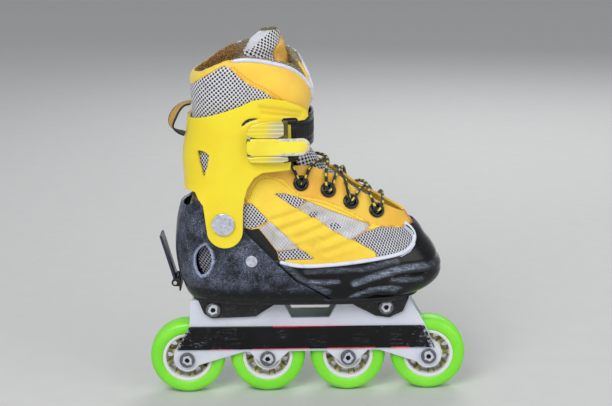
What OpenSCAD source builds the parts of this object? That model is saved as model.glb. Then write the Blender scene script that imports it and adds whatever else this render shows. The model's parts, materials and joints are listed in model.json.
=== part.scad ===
// Inline skate, right foot: four wheels in line, hard two-part shell, textile upper, hinged cuff.
// X points to the toe, -Y to the outer side with the buckle, Z up. The origin lies on the ground
// below the middle of the wheelbase. Millimetres.

/* [Wheels] */
// Outer diameter of a tyre
wheel_d = 72; // [68:0.5:75]
// Width of a tyre
wheel_w = 24; // [22:0.5:26]
// Radius of the rounded tyre shoulder
tyre_shoulder = 7; // [4:0.5:9]
// Distance between neighbouring axles
axle_pitch = 77; // [76.5:0.5:80]
// Outer diameter of a hub, where the tyre sits on it
hub_d = 48; // [44:0.5:54]
// Thickness of the hub rim under the tyre
hub_rim = 3.4; // [2.5:0.1:5]
// Thickness of the web between the hub windows
hub_web = 8; // [5:0.5:12]
// Windows through each hub
hub_windows = 10; // [6:1:12]

/* [Bearings and axles] */
// Outer diameter of a bearing
bearing_od = 22; // [20:0.5:24]
// Bore of a bearing
bearing_id = 8; // [7:0.5:9]
// Width of a bearing
bearing_w = 7; // [6:0.5:8]
// Diameter of a bearing ball
ball_d = 3.9; // [3.5:0.1:4]
// Running clearance round a ball and round the turning rings
ball_gap = 0.06; // [0.03:0.01:0.1]
// Thickness of a bearing shield
shield_t = 0.4; // [0.3:0.1:0.6]
// Thread diameter of the axle screws
axle_screw_d = 6; // [5:0.5:6]
// Diameter of the axle screw heads
axle_head_d = 14.5; // [11:0.5:15]
// Height of the axle screw heads
axle_head_h = 3.2; // [2:0.2:4]
// Width across flats of the hexagon sockets
hex_socket = 4; // [3:0.5:5]

/* [Frame] */
// Height from the axles to the underside of the sole plate
frame_rise = 59; // [57:0.5:64]
// Thickness of a frame rail
rail_wall = 3.4; // [2.5:0.1:4.5]
// Side gap between a tyre and a frame rail
rail_gap = 1; // [0.6:0.1:2]
// Thickness of the deck that joins the rails
deck_wall = 4; // [3:0.5:6]
// Radius of the rail round an outer axle
end_boss_r = 12.5; // [10:0.5:14]
// Radius of the rail round an inner axle
mid_boss_r = 9.5; // [8.5:0.5:12]
// Thickness of the black side panels
panel_wall = 2; // [1.5:0.1:3]
// Height of the black side panels
panel_h = 23; // [18:0.5:26]
// Thickness of the sole plate
sole_wall = 4; // [3:0.5:5]
// Thickness of the lugs that hold the frame
lug_wall = 4; // [3:0.5:6]
// Diameter of the frame mounting bolts
mount_bolt_d = 6; // [5:0.5:8]
// Diameter of the mounting bolt heads and nuts
mount_head_d = 14; // [11:0.5:15]
// Height of the mounting bolt heads and nuts
mount_head_h = 3; // [2:0.2:4]
// Distance of the rear mounting bolt behind the middle of the wheelbase
rear_mount_x = 89; // [85:0.5:93]
// Distance of the front mounting bolt before the middle of the wheelbase
front_mount_x = 75; // [70:0.5:80]

/* [Boot] */
// Length of the hard shell from heel to toe
boot_length = 252; // [246:1:262]
// Width of the hard shell at the ankle
boot_width = 92; // [90:0.5:96]
// Wall of the rear shell
shell_wall = 2.8; // [2.2:0.1:3.2]
// Wall of the toe shell
toe_wall = 3.6; // [3.4:0.1:4.2]
// Clearance of the sliding toe shell in the rear shell
slide_gap = 0.4; // [0.3:0.05:0.6]
// Thickness of the textile vamp
vamp_wall = 3; // [2:0.2:4]
// Thickness of the heel liner
liner_wall = 2.6; // [2:0.2:4]
// Thickness of the footbed
footbed_wall = 3.5; // [2.5:0.5:5]
// Height of the piping round the vamp
piping_h = 4.4; // [3:0.2:6]
// Padding of the liner collar
collar_pad = 8; // [6:0.5:9]
// Width of the slit at the front of the collar
collar_slit = 18; // [14:1:24]
// Thickness of the tongue
tongue_wall = 7; // [5:0.5:8]
// Outer diameter of an eyelet
eyelet_d = 15; // [11:0.5:16]
// Hole through an eyelet
eyelet_hole = 8; // [7.4:0.2:9]
// Height of an eyelet above the vamp
eyelet_h = 1.8; // [1.4:0.2:2.4]
// Diameter of the lace
lace_d = 3.2; // [2.6:0.2:3.4]

/* [Cuff] */
// Wall of the cuff
cuff_wall = 3; // [2.4:0.1:3.6]
// Gap between the cuff lobes and the rear shell bosses
cuff_gap = 0.3; // [0.3:0.05:0.5]
// Diameter of the cuff pivot rivets
pivot_d = 10; // [8:0.5:12]
// Running clearance of the pivot rivets in their bushes
pivot_gap = 0.05; // [0.02:0.01:0.08]
// Outer diameter of the cuff bushes
bush_d = 18; // [15:0.5:19]
// Diameter of the pivot rivet heads
rivet_head_d = 21; // [20:0.5:24]
// Height of the pivot rivet heads
rivet_head_h = 2.8; // [1.5:0.1:3]
// Width of the strap
strap_h = 42; // [36:1:44]
// Thickness of the strap
strap_wall = 2.4; // [1.6:0.1:2.8]
// Width of the pull loop webbing
loop_w = 18; // [14:1:24]
// Thickness of the pull loop webbing
loop_wall = 1.6; // [1.2:0.1:2]

/* [Buckle] */
// Length of the buckle lever from its pin to its tip
lever_len = 55; // [48:1:58]
// Height of the buckle lever
lever_h = 16; // [14:0.5:18]
// Thickness of the buckle lever
lever_wall = 4; // [3:0.2:4.5]
// Radius of the lever knuckle round the pin
knuckle_r = 2.6; // [2.4:0.1:3]
// Diameter of the buckle pin
buckle_pin_d = 3; // [2.5:0.1:3.4]
// Thickness of the buckle base plate
base_wall = 1.4; // [1:0.1:1.6]
// Length of the buckle base
base_len = 37; // [34:1:40]
// Height of the upper buckle cheek
upper_cheek_h = 15; // [12:0.5:16]
// Height of the lower buckle cheek
lower_cheek_h = 6; // [5:0.5:8]
// Clearance between moving buckle and size lever faces
lever_gap = 0.4; // [0.3:0.05:0.6]

/* [Size lever] */
// Length of the heel size lever
size_lever_len = 47; // [40:1:52]
// Width of the heel size lever
size_lever_w = 22; // [16:1:26]
// Thickness of the heel size lever
size_lever_wall = 2.4; // [1.8:0.1:3]
// Diameter of the size lever pin
size_pin_d = 3.6; // [3:0.1:4]
// Thickness of the bracket ears
ear_wall = 2.6; // [2:0.1:4]

/* [Hidden] */
$fn = 64;

// Frame and wheel heights and places
axle_z = wheel_d / 2;
sole_z = axle_z + frame_rise;
axle_x = [for (i = [0:3]) (i - 1.5) * axle_pitch];
rail_in = wheel_w / 2 + rail_gap;
rail_out = rail_in + rail_wall;
lug_out = rail_out + lug_wall;
mount_x = [-rear_mount_x, front_mount_x];
mount_drop = 8;
panel_top = axle_z + 33;

// Bearing rings, from the bore outwards
ball_r = ball_d / 2;
ball_circle = (bearing_od + bearing_id) / 4;
ring_share = 0.72;
ring_in = ball_circle - ball_r * ring_share;
ring_out = ball_circle + ball_r * ring_share;
race_r = ball_r + ball_gap;
ball_count = 7;
spacer_wall = 1.9;
shield_depth = 0.6;
shield_gap = 0.3;

// The boot grows from its nominal length and width
stretch = boot_length / 252;
widen = boot_width / 92;
ankle_t = -0.4;

// Slices through the boot: height above the sole, heel, toe, half width at the ankle, taper, fullness
boot_slices = [for (s = [
        [2, -110, 98, 36, 0.10, 3.0],
        [9, -114.5, 114, 41, 0.10, 3.0],
        [17, -117.5, 124.5, 43.5, 0.09, 3.0],
        [25, -120.5, 128.6, 45, 0.08, 3.0],
        [37, -122.8, 126, 46, 0.05, 2.9],
        [51, -124, 119, 46.5, 0, 2.7],
        [58, -123.8, 113.5, 47, -0.04, 2.6],
        [67, -123, 108, 47.5, -0.09, 2.6],
        [77, -122, 99.5, 48.3, -0.15, 2.4],
        [86, -120.2, 96, 48.5, -0.24, 2.3],
        [95, -117.5, 86.5, 48, -0.28, 2.3],
        [103, -115, 70.6, 46.5, -0.28, 2.3],
        [114, -113, 51.6, 44.5, -0.26, 2.3],
        [126, -113, 36.6, 43, -0.22, 2.3],
        [141, -113, 15.6, 42, -0.12, 2.3]])
    [s[0], s[1] * stretch, s[2] * stretch, s[3] * widen, s[4], s[5]]];

// The flat cuff lobes stand off the rear shell bosses
boss_y = 46.3 * widen;
boss_r = 13;
boss_depth = 4.5;
cuff_y = boss_y + cuff_gap + cuff_wall;
cut_reach = 1.5 * cuff_y;
cuff_slices = [for (s = [
        [50, -114, 14, 0, 8.0],
        [92, -113, 14, 0, 8.0],
        [104, -112.5, 14, 0, 5.0],
        [116, -113, 13.5, 0.1, 3.4],
        [125, -113.6, 13, 0.2, 3.0],
        [135, -114.3, 13, 0.4, 2.8],
        [148, -113.4, 12.6, 0.6, 2.7],
        [162, -110.6, 12.6, 0.6, 2.7],
        [179, -108.6, 12.6, 0.6, 2.7],
        [205, -106, 11, 0.6, 2.7]])
    [s[0], s[1] * stretch, s[2] * stretch, cuff_y - s[3], 0, s[4]]];
strap_out = cuff_wall + 0.4;
strap_in = strap_out + strap_wall;

// Heights above the sole that each layer is drawn between, a little past its outline
shell_span = [sole_wall, 110];
vamp_span = [28, boot_slices[len(boot_slices) - 1][0]];
piping_span = [36, 76];
cuff_span = [52, 204];
collar_span = [131, 240];
strap_span = [120, 204];

// The collar bulges above the cuff and is drawn in under the strap
collar_room = cuff_y - 0.6 - strap_in;
collar_slices = [for (s = [
        [130, -104, -1, -3, 2.5],
        [150, -105, 1.5, -2.4, 2.5],
        [167, -105.2, 4.6, -1, 2.5],
        [182, -104, 6.8, -0.4, 2.5],
        [192, -104.6, 9.6, 2, 2.5],
        [201, -105.2, 10, 2.4, 2.5],
        [211, -105.6, 6, 2.2, 2.5],
        [225, -105.6, -4, 0.8, 2.5],
        [241, -104, -20, -1.2, 2.5]])
    [s[0], s[1] * stretch, s[2] * stretch, collar_room + s[3], 0, s[4]]];

// Layers of the boot, as depths below the outside of the shell
wing_out = shell_wall + slide_gap;
wing_wall = 2.6;
vamp_out = toe_wall + slide_gap;
vamp_in = vamp_out + vamp_wall;
liner_out = vamp_in + 2.6;
floor_h = sole_wall + 0.3;
floor_wall = 3;
footbed_h = floor_h + floor_wall + 1.7;

// Cuff pivot, heel lever and buckle places
pivot = [-75.4 * stretch, 83];
shell_rivet = [-50.4 * stretch, 46];
shell_rivet_d = 11;
shell_rivet_h = 1.6;
shell_shank_d = 4;
size_pin = [-124.6 * stretch, 17];
buckle_x = -49.5 * stretch;
lever_low = 147.4;
base_low = lever_low - lever_gap - lower_cheek_h;
base_high = lever_low + lever_h + lever_gap + upper_cheek_h;
base_y = cuff_y + 0.1;
pin_y = base_y + base_wall + lever_gap + knuckle_r;
cheek_out = pin_y + knuckle_r - 0.4;
strap_rivet_at = [-24 * stretch, 160];
strap_rivet_d = 12;
strap_rivet_h = 1.8;
strap_shank_d = 5;
buckle_rivet_d = 4;
buckle_rivet_x = buckle_x + base_len / 2;
buckle_rivet_h = [base_low + lower_cheek_h / 2, base_high - upper_cheek_h / 2];

// Side views: points of (x, height above the sole)
rim_line = [for (p = [[-24, 43], [-5, 38], [32, 40], [69, 44], [88, 46.6], [96.5, 50],
        [101.5, 55], [102.6, 60.5], [99.5, 66.5], [93, 72]])
    [p[0] * stretch, p[1]]];
rear_front_edge = [for (p = [[24, sole_wall], [14, 12], [-10, 26], [-27, 43], [-39, 56], [-56, 74]])
    [p[0] * stretch, p[1]]];
throat_line = [for (p = [[106, 79], [95, 80.5], [83.6, 86], [65.6, 95.6], [46.6, 106], [32.6, 118],
        [4.6, 131], [-13, 133], [-41, 131]])
    [p[0] * stretch, p[1]]];
eyelet_seat = 0.7;
eyelet_at = [for (p = [[-4, 116], [21, 108], [42, 96.5], [66, 87]]) [p[0] * stretch, p[1]]];

// Centre of the tongue's outer face: x, height above the sole, half width, arch, turn to the outer side
tongue_path = [
    [88, 76, 10, 0.034, 0], [76, 86, 15, 0.034, 0], [62, 95.5, 19, 0.034, 0], [44, 106.5, 22, 0.034, 0],
    [29, 118.5, 23, 0.034, 0], [17, 130.5, 23, 0.03, 0], [6, 144, 24, 0.026, 0], [-3, 158, 25, 0.023, 0],
    [-9, 172, 26, 0.021, 0], [-13, 187, 26, 0.02, 2], [-17.5, 205, 26, 0.02, 10], [-21, 222, 24, 0.02, 26],
    [-28.6, 231, 23, 0.019, 41], [-27, 240, 25.5, 0.018, 51], [-30, 250, 17.6, 0.018, 56],
    [-29.8, 257.5, 7, 0.018, 58]];

// Lace route over the tongue: x, y, height above the sole
lace_route = [
    [-13, -33.5, 136.5], [-9, -35, 128], [-5, -36, 117], [-3.5, -33.5, 116.5], [-1, -36, 117],
    [6, -28, 133.5], [18.5, 0, 133], [19.5, 24, 126.5], [20, 32, 110], [21.5, 29, 109],
    [24.5, 31, 109.5], [28.5, 21.5, 122], [33, 0, 121.5], [38, -19.5, 116], [41, -31.5, 99.5],
    [42.5, -28.5, 97.5], [45, -30.5, 99], [50, -21.5, 106.5], [55, 0, 105.5], [61, 22, 101],
    [65.5, 29, 90], [66.5, 26, 88], [69.5, 28, 89.5], [72.5, 21, 95.5], [73, 0, 99.5],
    [72.5, -21, 95.5], [69.5, -28, 89.5], [66.5, -26, 88], [65.5, -29, 90], [61, -22, 101],
    [58, 0, 109.5], [50, 21.5, 106.5], [45, 30.5, 99], [42.5, 28.5, 97.5], [41, 31.5, 99.5],
    [38, 19.5, 116], [36, 0, 126], [28.5, -21.5, 122], [24.5, -31, 109.5], [21.5, -29, 109],
    [20, -32, 110], [19.5, -24, 126.5], [23.5, 0, 134.5], [6, 28, 133.5], [-1, 36, 117],
    [-3.5, 33.5, 116.5], [-5, 36, 117], [-9, 35, 128], [-13, 33.5, 136.5]];

// Straight line between two values
function mix(a, b, t) = a + (b - a) * t;

// Slice of a form at any height
function slice(form, h) =
    let (last = len(form) - 2,
        i = max([0, for (k = [0:last]) if (form[k][0] <= h) k]),
        t = (h - form[i][0]) / (form[i + 1][0] - form[i][0]))
    [for (c = [0:5]) mix(form[i][c], form[i + 1][c], t)];

// Point of a slice, at a depth below its outside
function rim_point(s, depth, angle) =
    let (mid = (s[1] + s[2]) / 2,
        along = sign(cos(angle)) * pow(abs(cos(angle)), 2 / s[5]),
        across = sign(sin(angle)) * pow(abs(sin(angle)), 2 / s[5]))
    [mid + ((s[2] - s[1]) / 2 - depth) * along,
        (s[3] - depth) * across * (1 + s[4] * (along - ankle_t)), s[0]];

// Half width of a form at a place in its side view
function half_width(form, depth, x, h) =
    let (s = slice(form, h),
        t = (x - (s[1] + s[2]) / 2) / ((s[2] - s[1]) / 2 - depth))
    abs(t) >= 1 ? 0
    : (s[3] - depth) * pow(1 - pow(abs(t), s[5]), 1 / s[5]) * (1 + s[4] * (t - ankle_t));

// Outward direction of a form's outer side at a place in its side view
function outward(form, depth, x, h) =
    let (e = 0.5,
        dx = half_width(form, depth, x + e, h) - half_width(form, depth, x - e, h),
        dh = half_width(form, depth, x, h + e) - half_width(form, depth, x, h - e),
        v = [-dx / (2 * e), -1, -dh / (2 * e)])
    v / norm(v);

// Solid through a list of rings with equal numbers of points
module skin(rings) {
    n = len(rings[0]);
    m = len(rings);
    sides = [for (j = [0:m - 2]) for (i = [0:n - 1])
        let (a = j * n + i, b = j * n + (i + 1) % n)
        each [[a, b, b + n], [a, b + n, a + n]]];
    first = [for (i = [0:n / 2 - 2]) each [[i, n - 1 - i, n - 2 - i], [i, n - 2 - i, i + 1]]];
    last = [for (f = first) [for (k = [2, 1, 0]) f[k] + (m - 1) * n]];
    polyhedron([for (r = rings) each r], [for (f = concat(sides, first, last)) [f[2], f[1], f[0]]]);
}

// Closed form between two heights, at a depth below its outside
module form_solid(form, depth, low, high, points = 44) {
    heights = concat([low], [for (s = form) if (s[0] > low + 1 && s[0] < high - 1) s[0]], [high]);
    skin([for (h = heights)
        [for (k = [0:points - 1]) rim_point(slice(form, h), depth, (k + 0.5) * 360 / points)]]);
}

// Layer of a form between two depths, without floor or lid
module layer(form, outside, inside, span) {
    low = span[0];
    high = span[1];
    difference() {
        form_solid(form, outside, low, high);
        form_solid(form, inside, low - 3, high + 3);
    }
}

// Side view drawn on X and height, carried through the whole width
module across(width = 140) {
    rotate([90, 0, 0])
        linear_extrude(width, center = true)
            children();
}

// Plate drawn in side view, between two distances from the middle on one side
module side_plate(side, near, far) {
    translate([0, side > 0 ? far : -near, 0])
        rotate([90, 0, 0])
            linear_extrude(far - near)
                children();
}

// Rod along Y at a place in side view
module cross_rod(x, z, r, y0, y1) {
    translate([x, y1, z])
        rotate([90, 0, 0])
            cylinder(r = r, h = y1 - y0);
}

// Place on the outside of a form, with local Z pointing outwards
module on_form(form, depth, x, h, side) {
    v = outward(form, depth, x, h);
    mirror([0, side > 0 ? 1 : 0, 0])
        translate([x, -half_width(form, depth, x, h), h])
            rotate([0, acos(v[2]), atan2(v[1], v[0])])
                children();
}

module on_boot() {
    translate([0, 0, sole_z])
        children();
}

// Frame rail in side view, with a boss round each axle
module rail_outline() {
    low = axle_z + 6.5;
    difference() {
        union() {
            polygon([[axle_x[0] - 9, low], [axle_x[0] + 3, panel_top], [axle_x[0] + 5, sole_z], [-24, sole_z],
                [-15, axle_z + 40], [21, axle_z + 40], [31, sole_z], [97, sole_z],
                [axle_x[3] - 3.5, panel_top - 1], [axle_x[3] + 7, low]]);
            rail_boss(axle_x[0], end_boss_r, 9, 58, low);
            rail_boss(axle_x[1], mid_boss_r, 18, 22, low);
            rail_boss(axle_x[2], mid_boss_r, 22, 20, low);
            rail_boss(axle_x[3], end_boss_r, 50, 7, low);
        }
        for (x = axle_x)
            translate([x, axle_z])
                circle(r = bearing_id / 2);
        for (x = mount_x)
            translate([x, sole_z - mount_drop])
                circle(r = mount_bolt_d / 2);
    }
}

module rail_boss(x, r, rear, front, top) {
    slope = r * 0.5;
    translate([x, axle_z])
        circle(r = r);
    polygon([[x - rear, top + 1], [x - r * 0.85, axle_z - slope], [x + r * 0.85, axle_z - slope],
        [x + front, top + 1]]);
}

module frame() {
    color("white") {
        for (side = [-1, 1])
            side_plate(side, rail_in, rail_out)
                rail_outline();
        for (span = [[axle_x[0] + 7, -26], [33, 95]])
            translate([span[0], -rail_in - 0.5, sole_z - deck_wall])
                cube([span[1] - span[0], 2 * rail_in + 1, deck_wall]);
        for (side = [-1, 1])
            for (x = axle_x)
                frame_washer(x, side);
    }
}

// Raised ring of the rail that bears on the inner ring of the bearing
module frame_washer(x, side) {
    y0 = side > 0 ? wheel_w / 2 : -rail_in - 0.5;
    difference() {
        cross_rod(x, axle_z, ring_in - 0.4, y0, y0 + rail_gap + 0.5);
        cross_rod(x, axle_z, bearing_id / 2, y0 - 1, y0 + rail_gap + 2);
    }
}

module side_panel(side) {
    low = panel_top - panel_h;
    color("#101010")
        side_plate(side, rail_out, rail_out + panel_wall)
            polygon([[axle_x[0] - 10, low], [axle_x[0] + 3, panel_top], [axle_x[3] - 4, panel_top - 2],
                [axle_x[3] + 6, low - 1]]);
}

module side_panel_outer() {
    side_panel(-1);
}

module side_panel_inner() {
    side_panel(1);
}

module sole_plate() {
    h = sole_wall;
    outline = [for (k = [0:59]) let (p = rim_point(slice(boot_slices, 3), 2, (k + 0.5) * 6)) [p[0], p[1]]];
    front = front_mount_x;
    rear = -rear_mount_x;
    color("#161616")
        difference() {
            union() {
                translate([0, 0, sole_z])
                    linear_extrude(h)
                        polygon(outline);
                for (side = [-1, 1])
                    side_plate(side, rail_out, lug_out) {
                        polygon([[rear - 14, sole_z + 1], [rear - 9, sole_z - 12], [rear - 2, sole_z - 17],
                            [rear + 40, sole_z - 16], [rear + 62, sole_z - 2], [rear + 64, sole_z + 1]]);
                        polygon([[front - 42, sole_z + 1], [front - 27, sole_z - 8], [front - 10, sole_z - 17],
                            [front + 3, sole_z - 19], [front + 16, sole_z - 13], [front + 22, sole_z + 1]]);
                    }
            }
            for (x = mount_x)
                cross_rod(x, sole_z - mount_drop, mount_bolt_d / 2, -cut_reach, cut_reach);
        }
}

module mount_bolts() {
    color("silver")
        for (x = mount_x)
            difference() {
                union() {
                    cross_rod(x, sole_z - mount_drop, mount_bolt_d / 2, -lug_out - 1, lug_out + 1.5);
                    cross_rod(x, sole_z - mount_drop, mount_head_d / 2, -lug_out - mount_head_h, -lug_out);
                }
                hex_recess(x, sole_z - mount_drop, -lug_out - mount_head_h);
            }
}

module hex_recess(x, z, face) {
    translate([x, face + 2, z])
        rotate([90, 0, 0])
            cylinder(d = hex_socket / cos(30), h = 3, $fn = 6);
}

module mount_nuts() {
    color("silver")
        for (x = mount_x)
            difference() {
                cross_rod(x, sole_z - mount_drop, mount_head_d / 2, lug_out, lug_out + mount_head_h);
                cross_rod(x, sole_z - mount_drop, mount_bolt_d / 2, lug_out - 1, lug_out + mount_head_h + 1);
            }
}

module axle_screws() {
    color("silver")
        for (x = axle_x)
            difference() {
                union() {
                    cross_rod(x, axle_z, axle_screw_d / 2, -rail_out - 1, rail_in);
                    cross_rod(x, axle_z, axle_head_d / 2, -rail_out - axle_head_h, -rail_out);
                }
                hex_recess(x, axle_z, -rail_out - axle_head_h);
            }
}

module axle_barrels() {
    color("silver")
        for (x = axle_x)
            difference() {
                union() {
                    cross_rod(x, axle_z, bearing_id / 2, -rail_out, rail_out + 1);
                    cross_rod(x, axle_z, axle_head_d / 2, rail_out, rail_out + axle_head_h);
                }
                cross_rod(x, axle_z, axle_screw_d / 2, -rail_out - 1, rail_in);
            }
}

// Both bearings of a wheel: children drawn as radius and distance from the bearing's middle
module bearing_pair(x) {
    for (side = [-1, 1])
        translate([x, side * (wheel_w - bearing_w) / 2, axle_z])
            rotate([90, 0, 0])
                children();
}

module race(inner, outer) {
    rotate_extrude()
        difference() {
            translate([inner, -bearing_w / 2])
                square([outer - inner, bearing_w]);
            translate([ball_circle, 0])
                circle(r = race_r);
        }
}

module bearing_inner_rings() {
    color("#b8bcc0")
        for (x = axle_x)
            bearing_pair(x)
                race(bearing_id / 2, ring_in);
}

module bearing_spacers() {
    reach = wheel_w / 2 - bearing_w;
    color("#9a9ea2")
        for (x = axle_x)
            difference() {
                cross_rod(x, axle_z, bearing_id / 2 + spacer_wall, -reach, reach);
                cross_rod(x, axle_z, bearing_id / 2, -reach - 1, reach + 1);
            }
}

module bearing_outer_rings(i) {
    color("#a8acb0")
        bearing_pair(axle_x[i - 1])
            race(ring_out, bearing_od / 2);
}

module bearing_balls(i) {
    color("#d8dadc")
        bearing_pair(axle_x[i - 1])
            for (k = [1:ball_count])
                rotate([0, 0, k * 360 / ball_count])
                    translate([ball_circle, 0, 0])
                        sphere(r = ball_r);
}

module bearing_shields(i) {
    color("#303234")
        bearing_pair(axle_x[i - 1])
            for (face = [-1, 1])
                translate([0, 0, face * (bearing_w / 2 - shield_depth) - shield_t / 2])
                    difference() {
                        cylinder(r = ring_out, h = shield_t);
                        translate([0, 0, -1])
                            cylinder(r = ring_in + shield_gap, h = shield_t + 2);
                    }
}

module tyre(i) {
    hub_r = hub_d / 2;
    crown = wheel_w / 2 - tyre_shoulder;
    shoulder = wheel_d / 2 - tyre_shoulder;
    color("#66ee22")
        translate([axle_x[i - 1], 0, axle_z])
            rotate([90, 0, 0])
                rotate_extrude($fn = 96)
                    difference() {
                        union() {
                            translate([hub_r, -wheel_w / 2])
                                square([shoulder - hub_r, wheel_w]);
                            translate([hub_r, -crown])
                                square([wheel_d / 2 - hub_r, 2 * crown]);
                            for (side = [-1, 1])
                                translate([shoulder, side * crown])
                                    circle(r = tyre_shoulder);
                        }
                        translate([0, -wheel_w])
                            square([hub_r, 2 * wheel_w]);
                    }
}

module hub(i) {
    hub_r = hub_d / 2;
    seat = bearing_od / 2;
    core = seat + 2.4;
    rim = hub_r - hub_rim;
    rim_inset = 1.5;
    reach = wheel_w / 2;
    color("ivory")
        translate([axle_x[i - 1], 0, axle_z])
            rotate([90, 0, 0])
                difference() {
                    rotate_extrude() {
                        translate([seat, -reach])
                            square([core - seat, 2 * reach]);
                        translate([ring_out, bearing_w - reach])
                            square([core - ring_out, 2 * (reach - bearing_w)]);
                        translate([seat, -hub_web / 2])
                            square([rim - seat + 1, hub_web]);
                        translate([rim, rim_inset - reach])
                            square([hub_rim, 2 * (reach - rim_inset)]);
                    }
                    for (k = [1:hub_windows])
                        rotate([0, 0, k * 360 / hub_windows])
                            translate([(core + rim) / 2, 0, 0])
                                cylinder(r = (rim - core) / 2 - 0.5, h = wheel_w, center = true);
                }
}

module rear_shell() {
    outline = concat([[-135 * stretch, sole_wall]], rear_front_edge, [for (p = [[-58.5, 93], [-70, 101],
        [-100, 101], [-112, 95], [-135, 94]]) [p[0] * stretch, p[1]]]);
    color("#1c1d20")
        on_boot()
            difference() {
                union() {
                    intersection() {
                        layer(boot_slices, 0, shell_wall, shell_span);
                        across()
                            polygon(outline);
                    }
                    for (side = [-1, 1])
                        side_plate(side, boss_y - boss_depth, boss_y)
                            translate(pivot)
                                circle(r = boss_r);
                }
                cross_rod(pivot[0], pivot[1], pivot_d / 2, -cut_reach, cut_reach);
                across()
                    shell_vent();
                for (side = [-1, 1])
                    on_form(boot_slices, 0, shell_rivet[0], shell_rivet[1], side)
                        cylinder(d = shell_shank_d, h = 20, center = true);
            }
}

// Lens-shaped opening behind the cuff lobe
module shell_vent() {
    lens_r = 20;
    lens_shift = 12;
    translate([-95.5 * stretch, 45])
        rotate(-10)
            intersection() {
                translate([lens_shift, 0])
                    circle(r = lens_r);
                translate([-lens_shift, 0])
                    circle(r = lens_r);
            }
}

module shell_rivets() {
    color("#d8d4cc")
        on_boot()
            for (side = [-1, 1])
                on_form(boot_slices, 0, shell_rivet[0], shell_rivet[1], side) {
                    translate([0, 0, 0.05])
                        cylinder(d = shell_rivet_d, h = shell_rivet_h);
                    translate([0, 0, -shell_wall])
                        cylinder(d = shell_shank_d, h = shell_wall + 1);
                }
}

module cuff_rivets() {
    head_y = cuff_y + 0.1;
    color("#c9cdd2")
        on_boot()
            for (side = [-1, 1])
                mirror([0, side > 0 ? 1 : 0, 0]) {
                    cross_rod(pivot[0], pivot[1], pivot_d / 2, -head_y - 1, -boss_y + boss_depth);
                    cross_rod(pivot[0], pivot[1], rivet_head_d / 2, -head_y - rivet_head_h, -head_y);
                }
}

module heel_liner() {
    low = footbed_h + footbed_wall;
    top = 113;
    color("#8a8c88")
        on_boot()
            intersection() {
                layer(boot_slices, liner_out, liner_out + liner_wall, [low, top + 3]);
                across()
                    polygon([for (p = [[-130, low], [-46, low], [-58, 60], [-66, top - 13], [-80, top - 4],
                            [-130, top]])
                        [p[0] * stretch, p[1]]]);
            }
}

module footbed() {
    outline = [for (k = [0:59])
        let (p = rim_point(slice(boot_slices, 10), wing_out + wing_wall + 2, (k + 0.5) * 6)) [p[0], p[1]]];
    color("#6e6f6a")
        on_boot()
            intersection() {
                translate([0, 0, footbed_h])
                    linear_extrude(footbed_wall)
                        polygon(outline);
                translate([-200 + 80 * stretch, -60, 0])
                    cube([200, 120, 60]);
            }
}

module size_latch() {
    color("#3a3c40")
        on_boot()
            translate([-104 * stretch, -8, sole_wall])
                cube([13, 16, footbed_h - sole_wall]);
}

module size_rack() {
    back = -90 * stretch;
    front = -40 * stretch;
    color("#4a4d52")
        on_boot()
            difference() {
                translate([back, -10, floor_h])
                    cube([front - back, 20, floor_wall]);
                for (x = [back + 6:6:front - 6])
                    translate([x, -6, floor_h - 1])
                        cube([3, 12, floor_wall + 2]);
            }
}

// Padded strip whose sections arch over the foot
module tongue() {
    n = len(tongue_path);
    steps = 6;
    color("#d8a030")
        on_boot()
            skin([for (i = [0:n - 1])
                let (p = tongue_path[i],
                    q = tongue_path[max(i - 1, 0)],
                    r = tongue_path[min(i + 1, n - 1)],
                    d = [r[0] - q[0], r[1] - q[1]] / norm([r[0] - q[0], r[1] - q[1]]),
                    out = [d[1], -d[0]],
                    thick = i == 0 || i == n - 1 ? tongue_wall / 2 : tongue_wall)
                [for (k = [-steps:steps]) tongue_point(p, -out, k / steps, 0),
                    for (k = [steps:-1:-steps]) tongue_point(p, -out, k / steps, thick)]]);
}

// Point of a tongue section: below the crown by the arch and by the padding at that place
function tongue_point(p, down, t, thick) =
    let (y = p[2] * t,
        drop = p[3] * y * y + thick * (1 - 0.6 * pow(abs(t), 4)),
        back = down[0] * drop,
        centre = p[3] * p[2] * p[2])
    [p[0] * stretch + back * cos(p[4]) + y * sin(p[4]),
        y * cos(p[4]) - (back + centre) * sin(p[4]), p[1] + down[1] * drop];

module toe_shell() {
    cap_h = 76;
    front_zone = concat(rim_line, [[150 * stretch, 72], [150 * stretch, 0]],
        [for (i = [0:3]) rear_front_edge[i] + [1.6, 0.4]]);
    wing_zone = [for (p = [[-40, 0], [40, 0], [40, 28], [-16, 28], [-40, 20]]) [p[0] * stretch, p[1]]];
    color("#141517")
        on_boot()
            union() {
                intersection() {
                    difference() {
                        form_solid(boot_slices, 0, floor_h, cap_h);
                        form_solid(boot_slices, toe_wall, floor_h + floor_wall, cap_h + 3);
                    }
                    across()
                        polygon(front_zone);
                }
                intersection() {
                    difference() {
                        form_solid(boot_slices, wing_out, floor_h, 34);
                        form_solid(boot_slices, wing_out + wing_wall, floor_h + floor_wall, 37);
                    }
                    across()
                        polygon(wing_zone);
                }
            }
}

module vamp() {
    hem = [for (i = [1:4]) rim_line[i] - [0, 6]];
    outline = concat([for (p = [[-76, 62], [-44, 50], [-30, 44]]) [p[0] * stretch, p[1]]],
        hem, [[140 * stretch, 46], [140 * stretch, 79]], throat_line,
        [for (p = [[-62, 121], [-76, 100]]) [p[0] * stretch, p[1]]]);
    color("#f5b82e")
        on_boot()
            intersection() {
                layer(boot_slices, vamp_out, vamp_in, vamp_span);
                across()
                    polygon(outline);
            }
}

module piping() {
    n = len(rim_line) - 1;
    top = [for (i = [n:-1:0])
        let (v = rim_line[min(i + 1, n)] - rim_line[max(i - 1, 0)])
        rim_line[i] + [-v[1], v[0]] / norm(v) * piping_h];
    color("#dcdee0")
        on_boot()
            intersection() {
                layer(boot_slices, 0.2, vamp_out - 0.1, piping_span);
                across()
                    polygon(concat(rim_line, top));
            }
}

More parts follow.
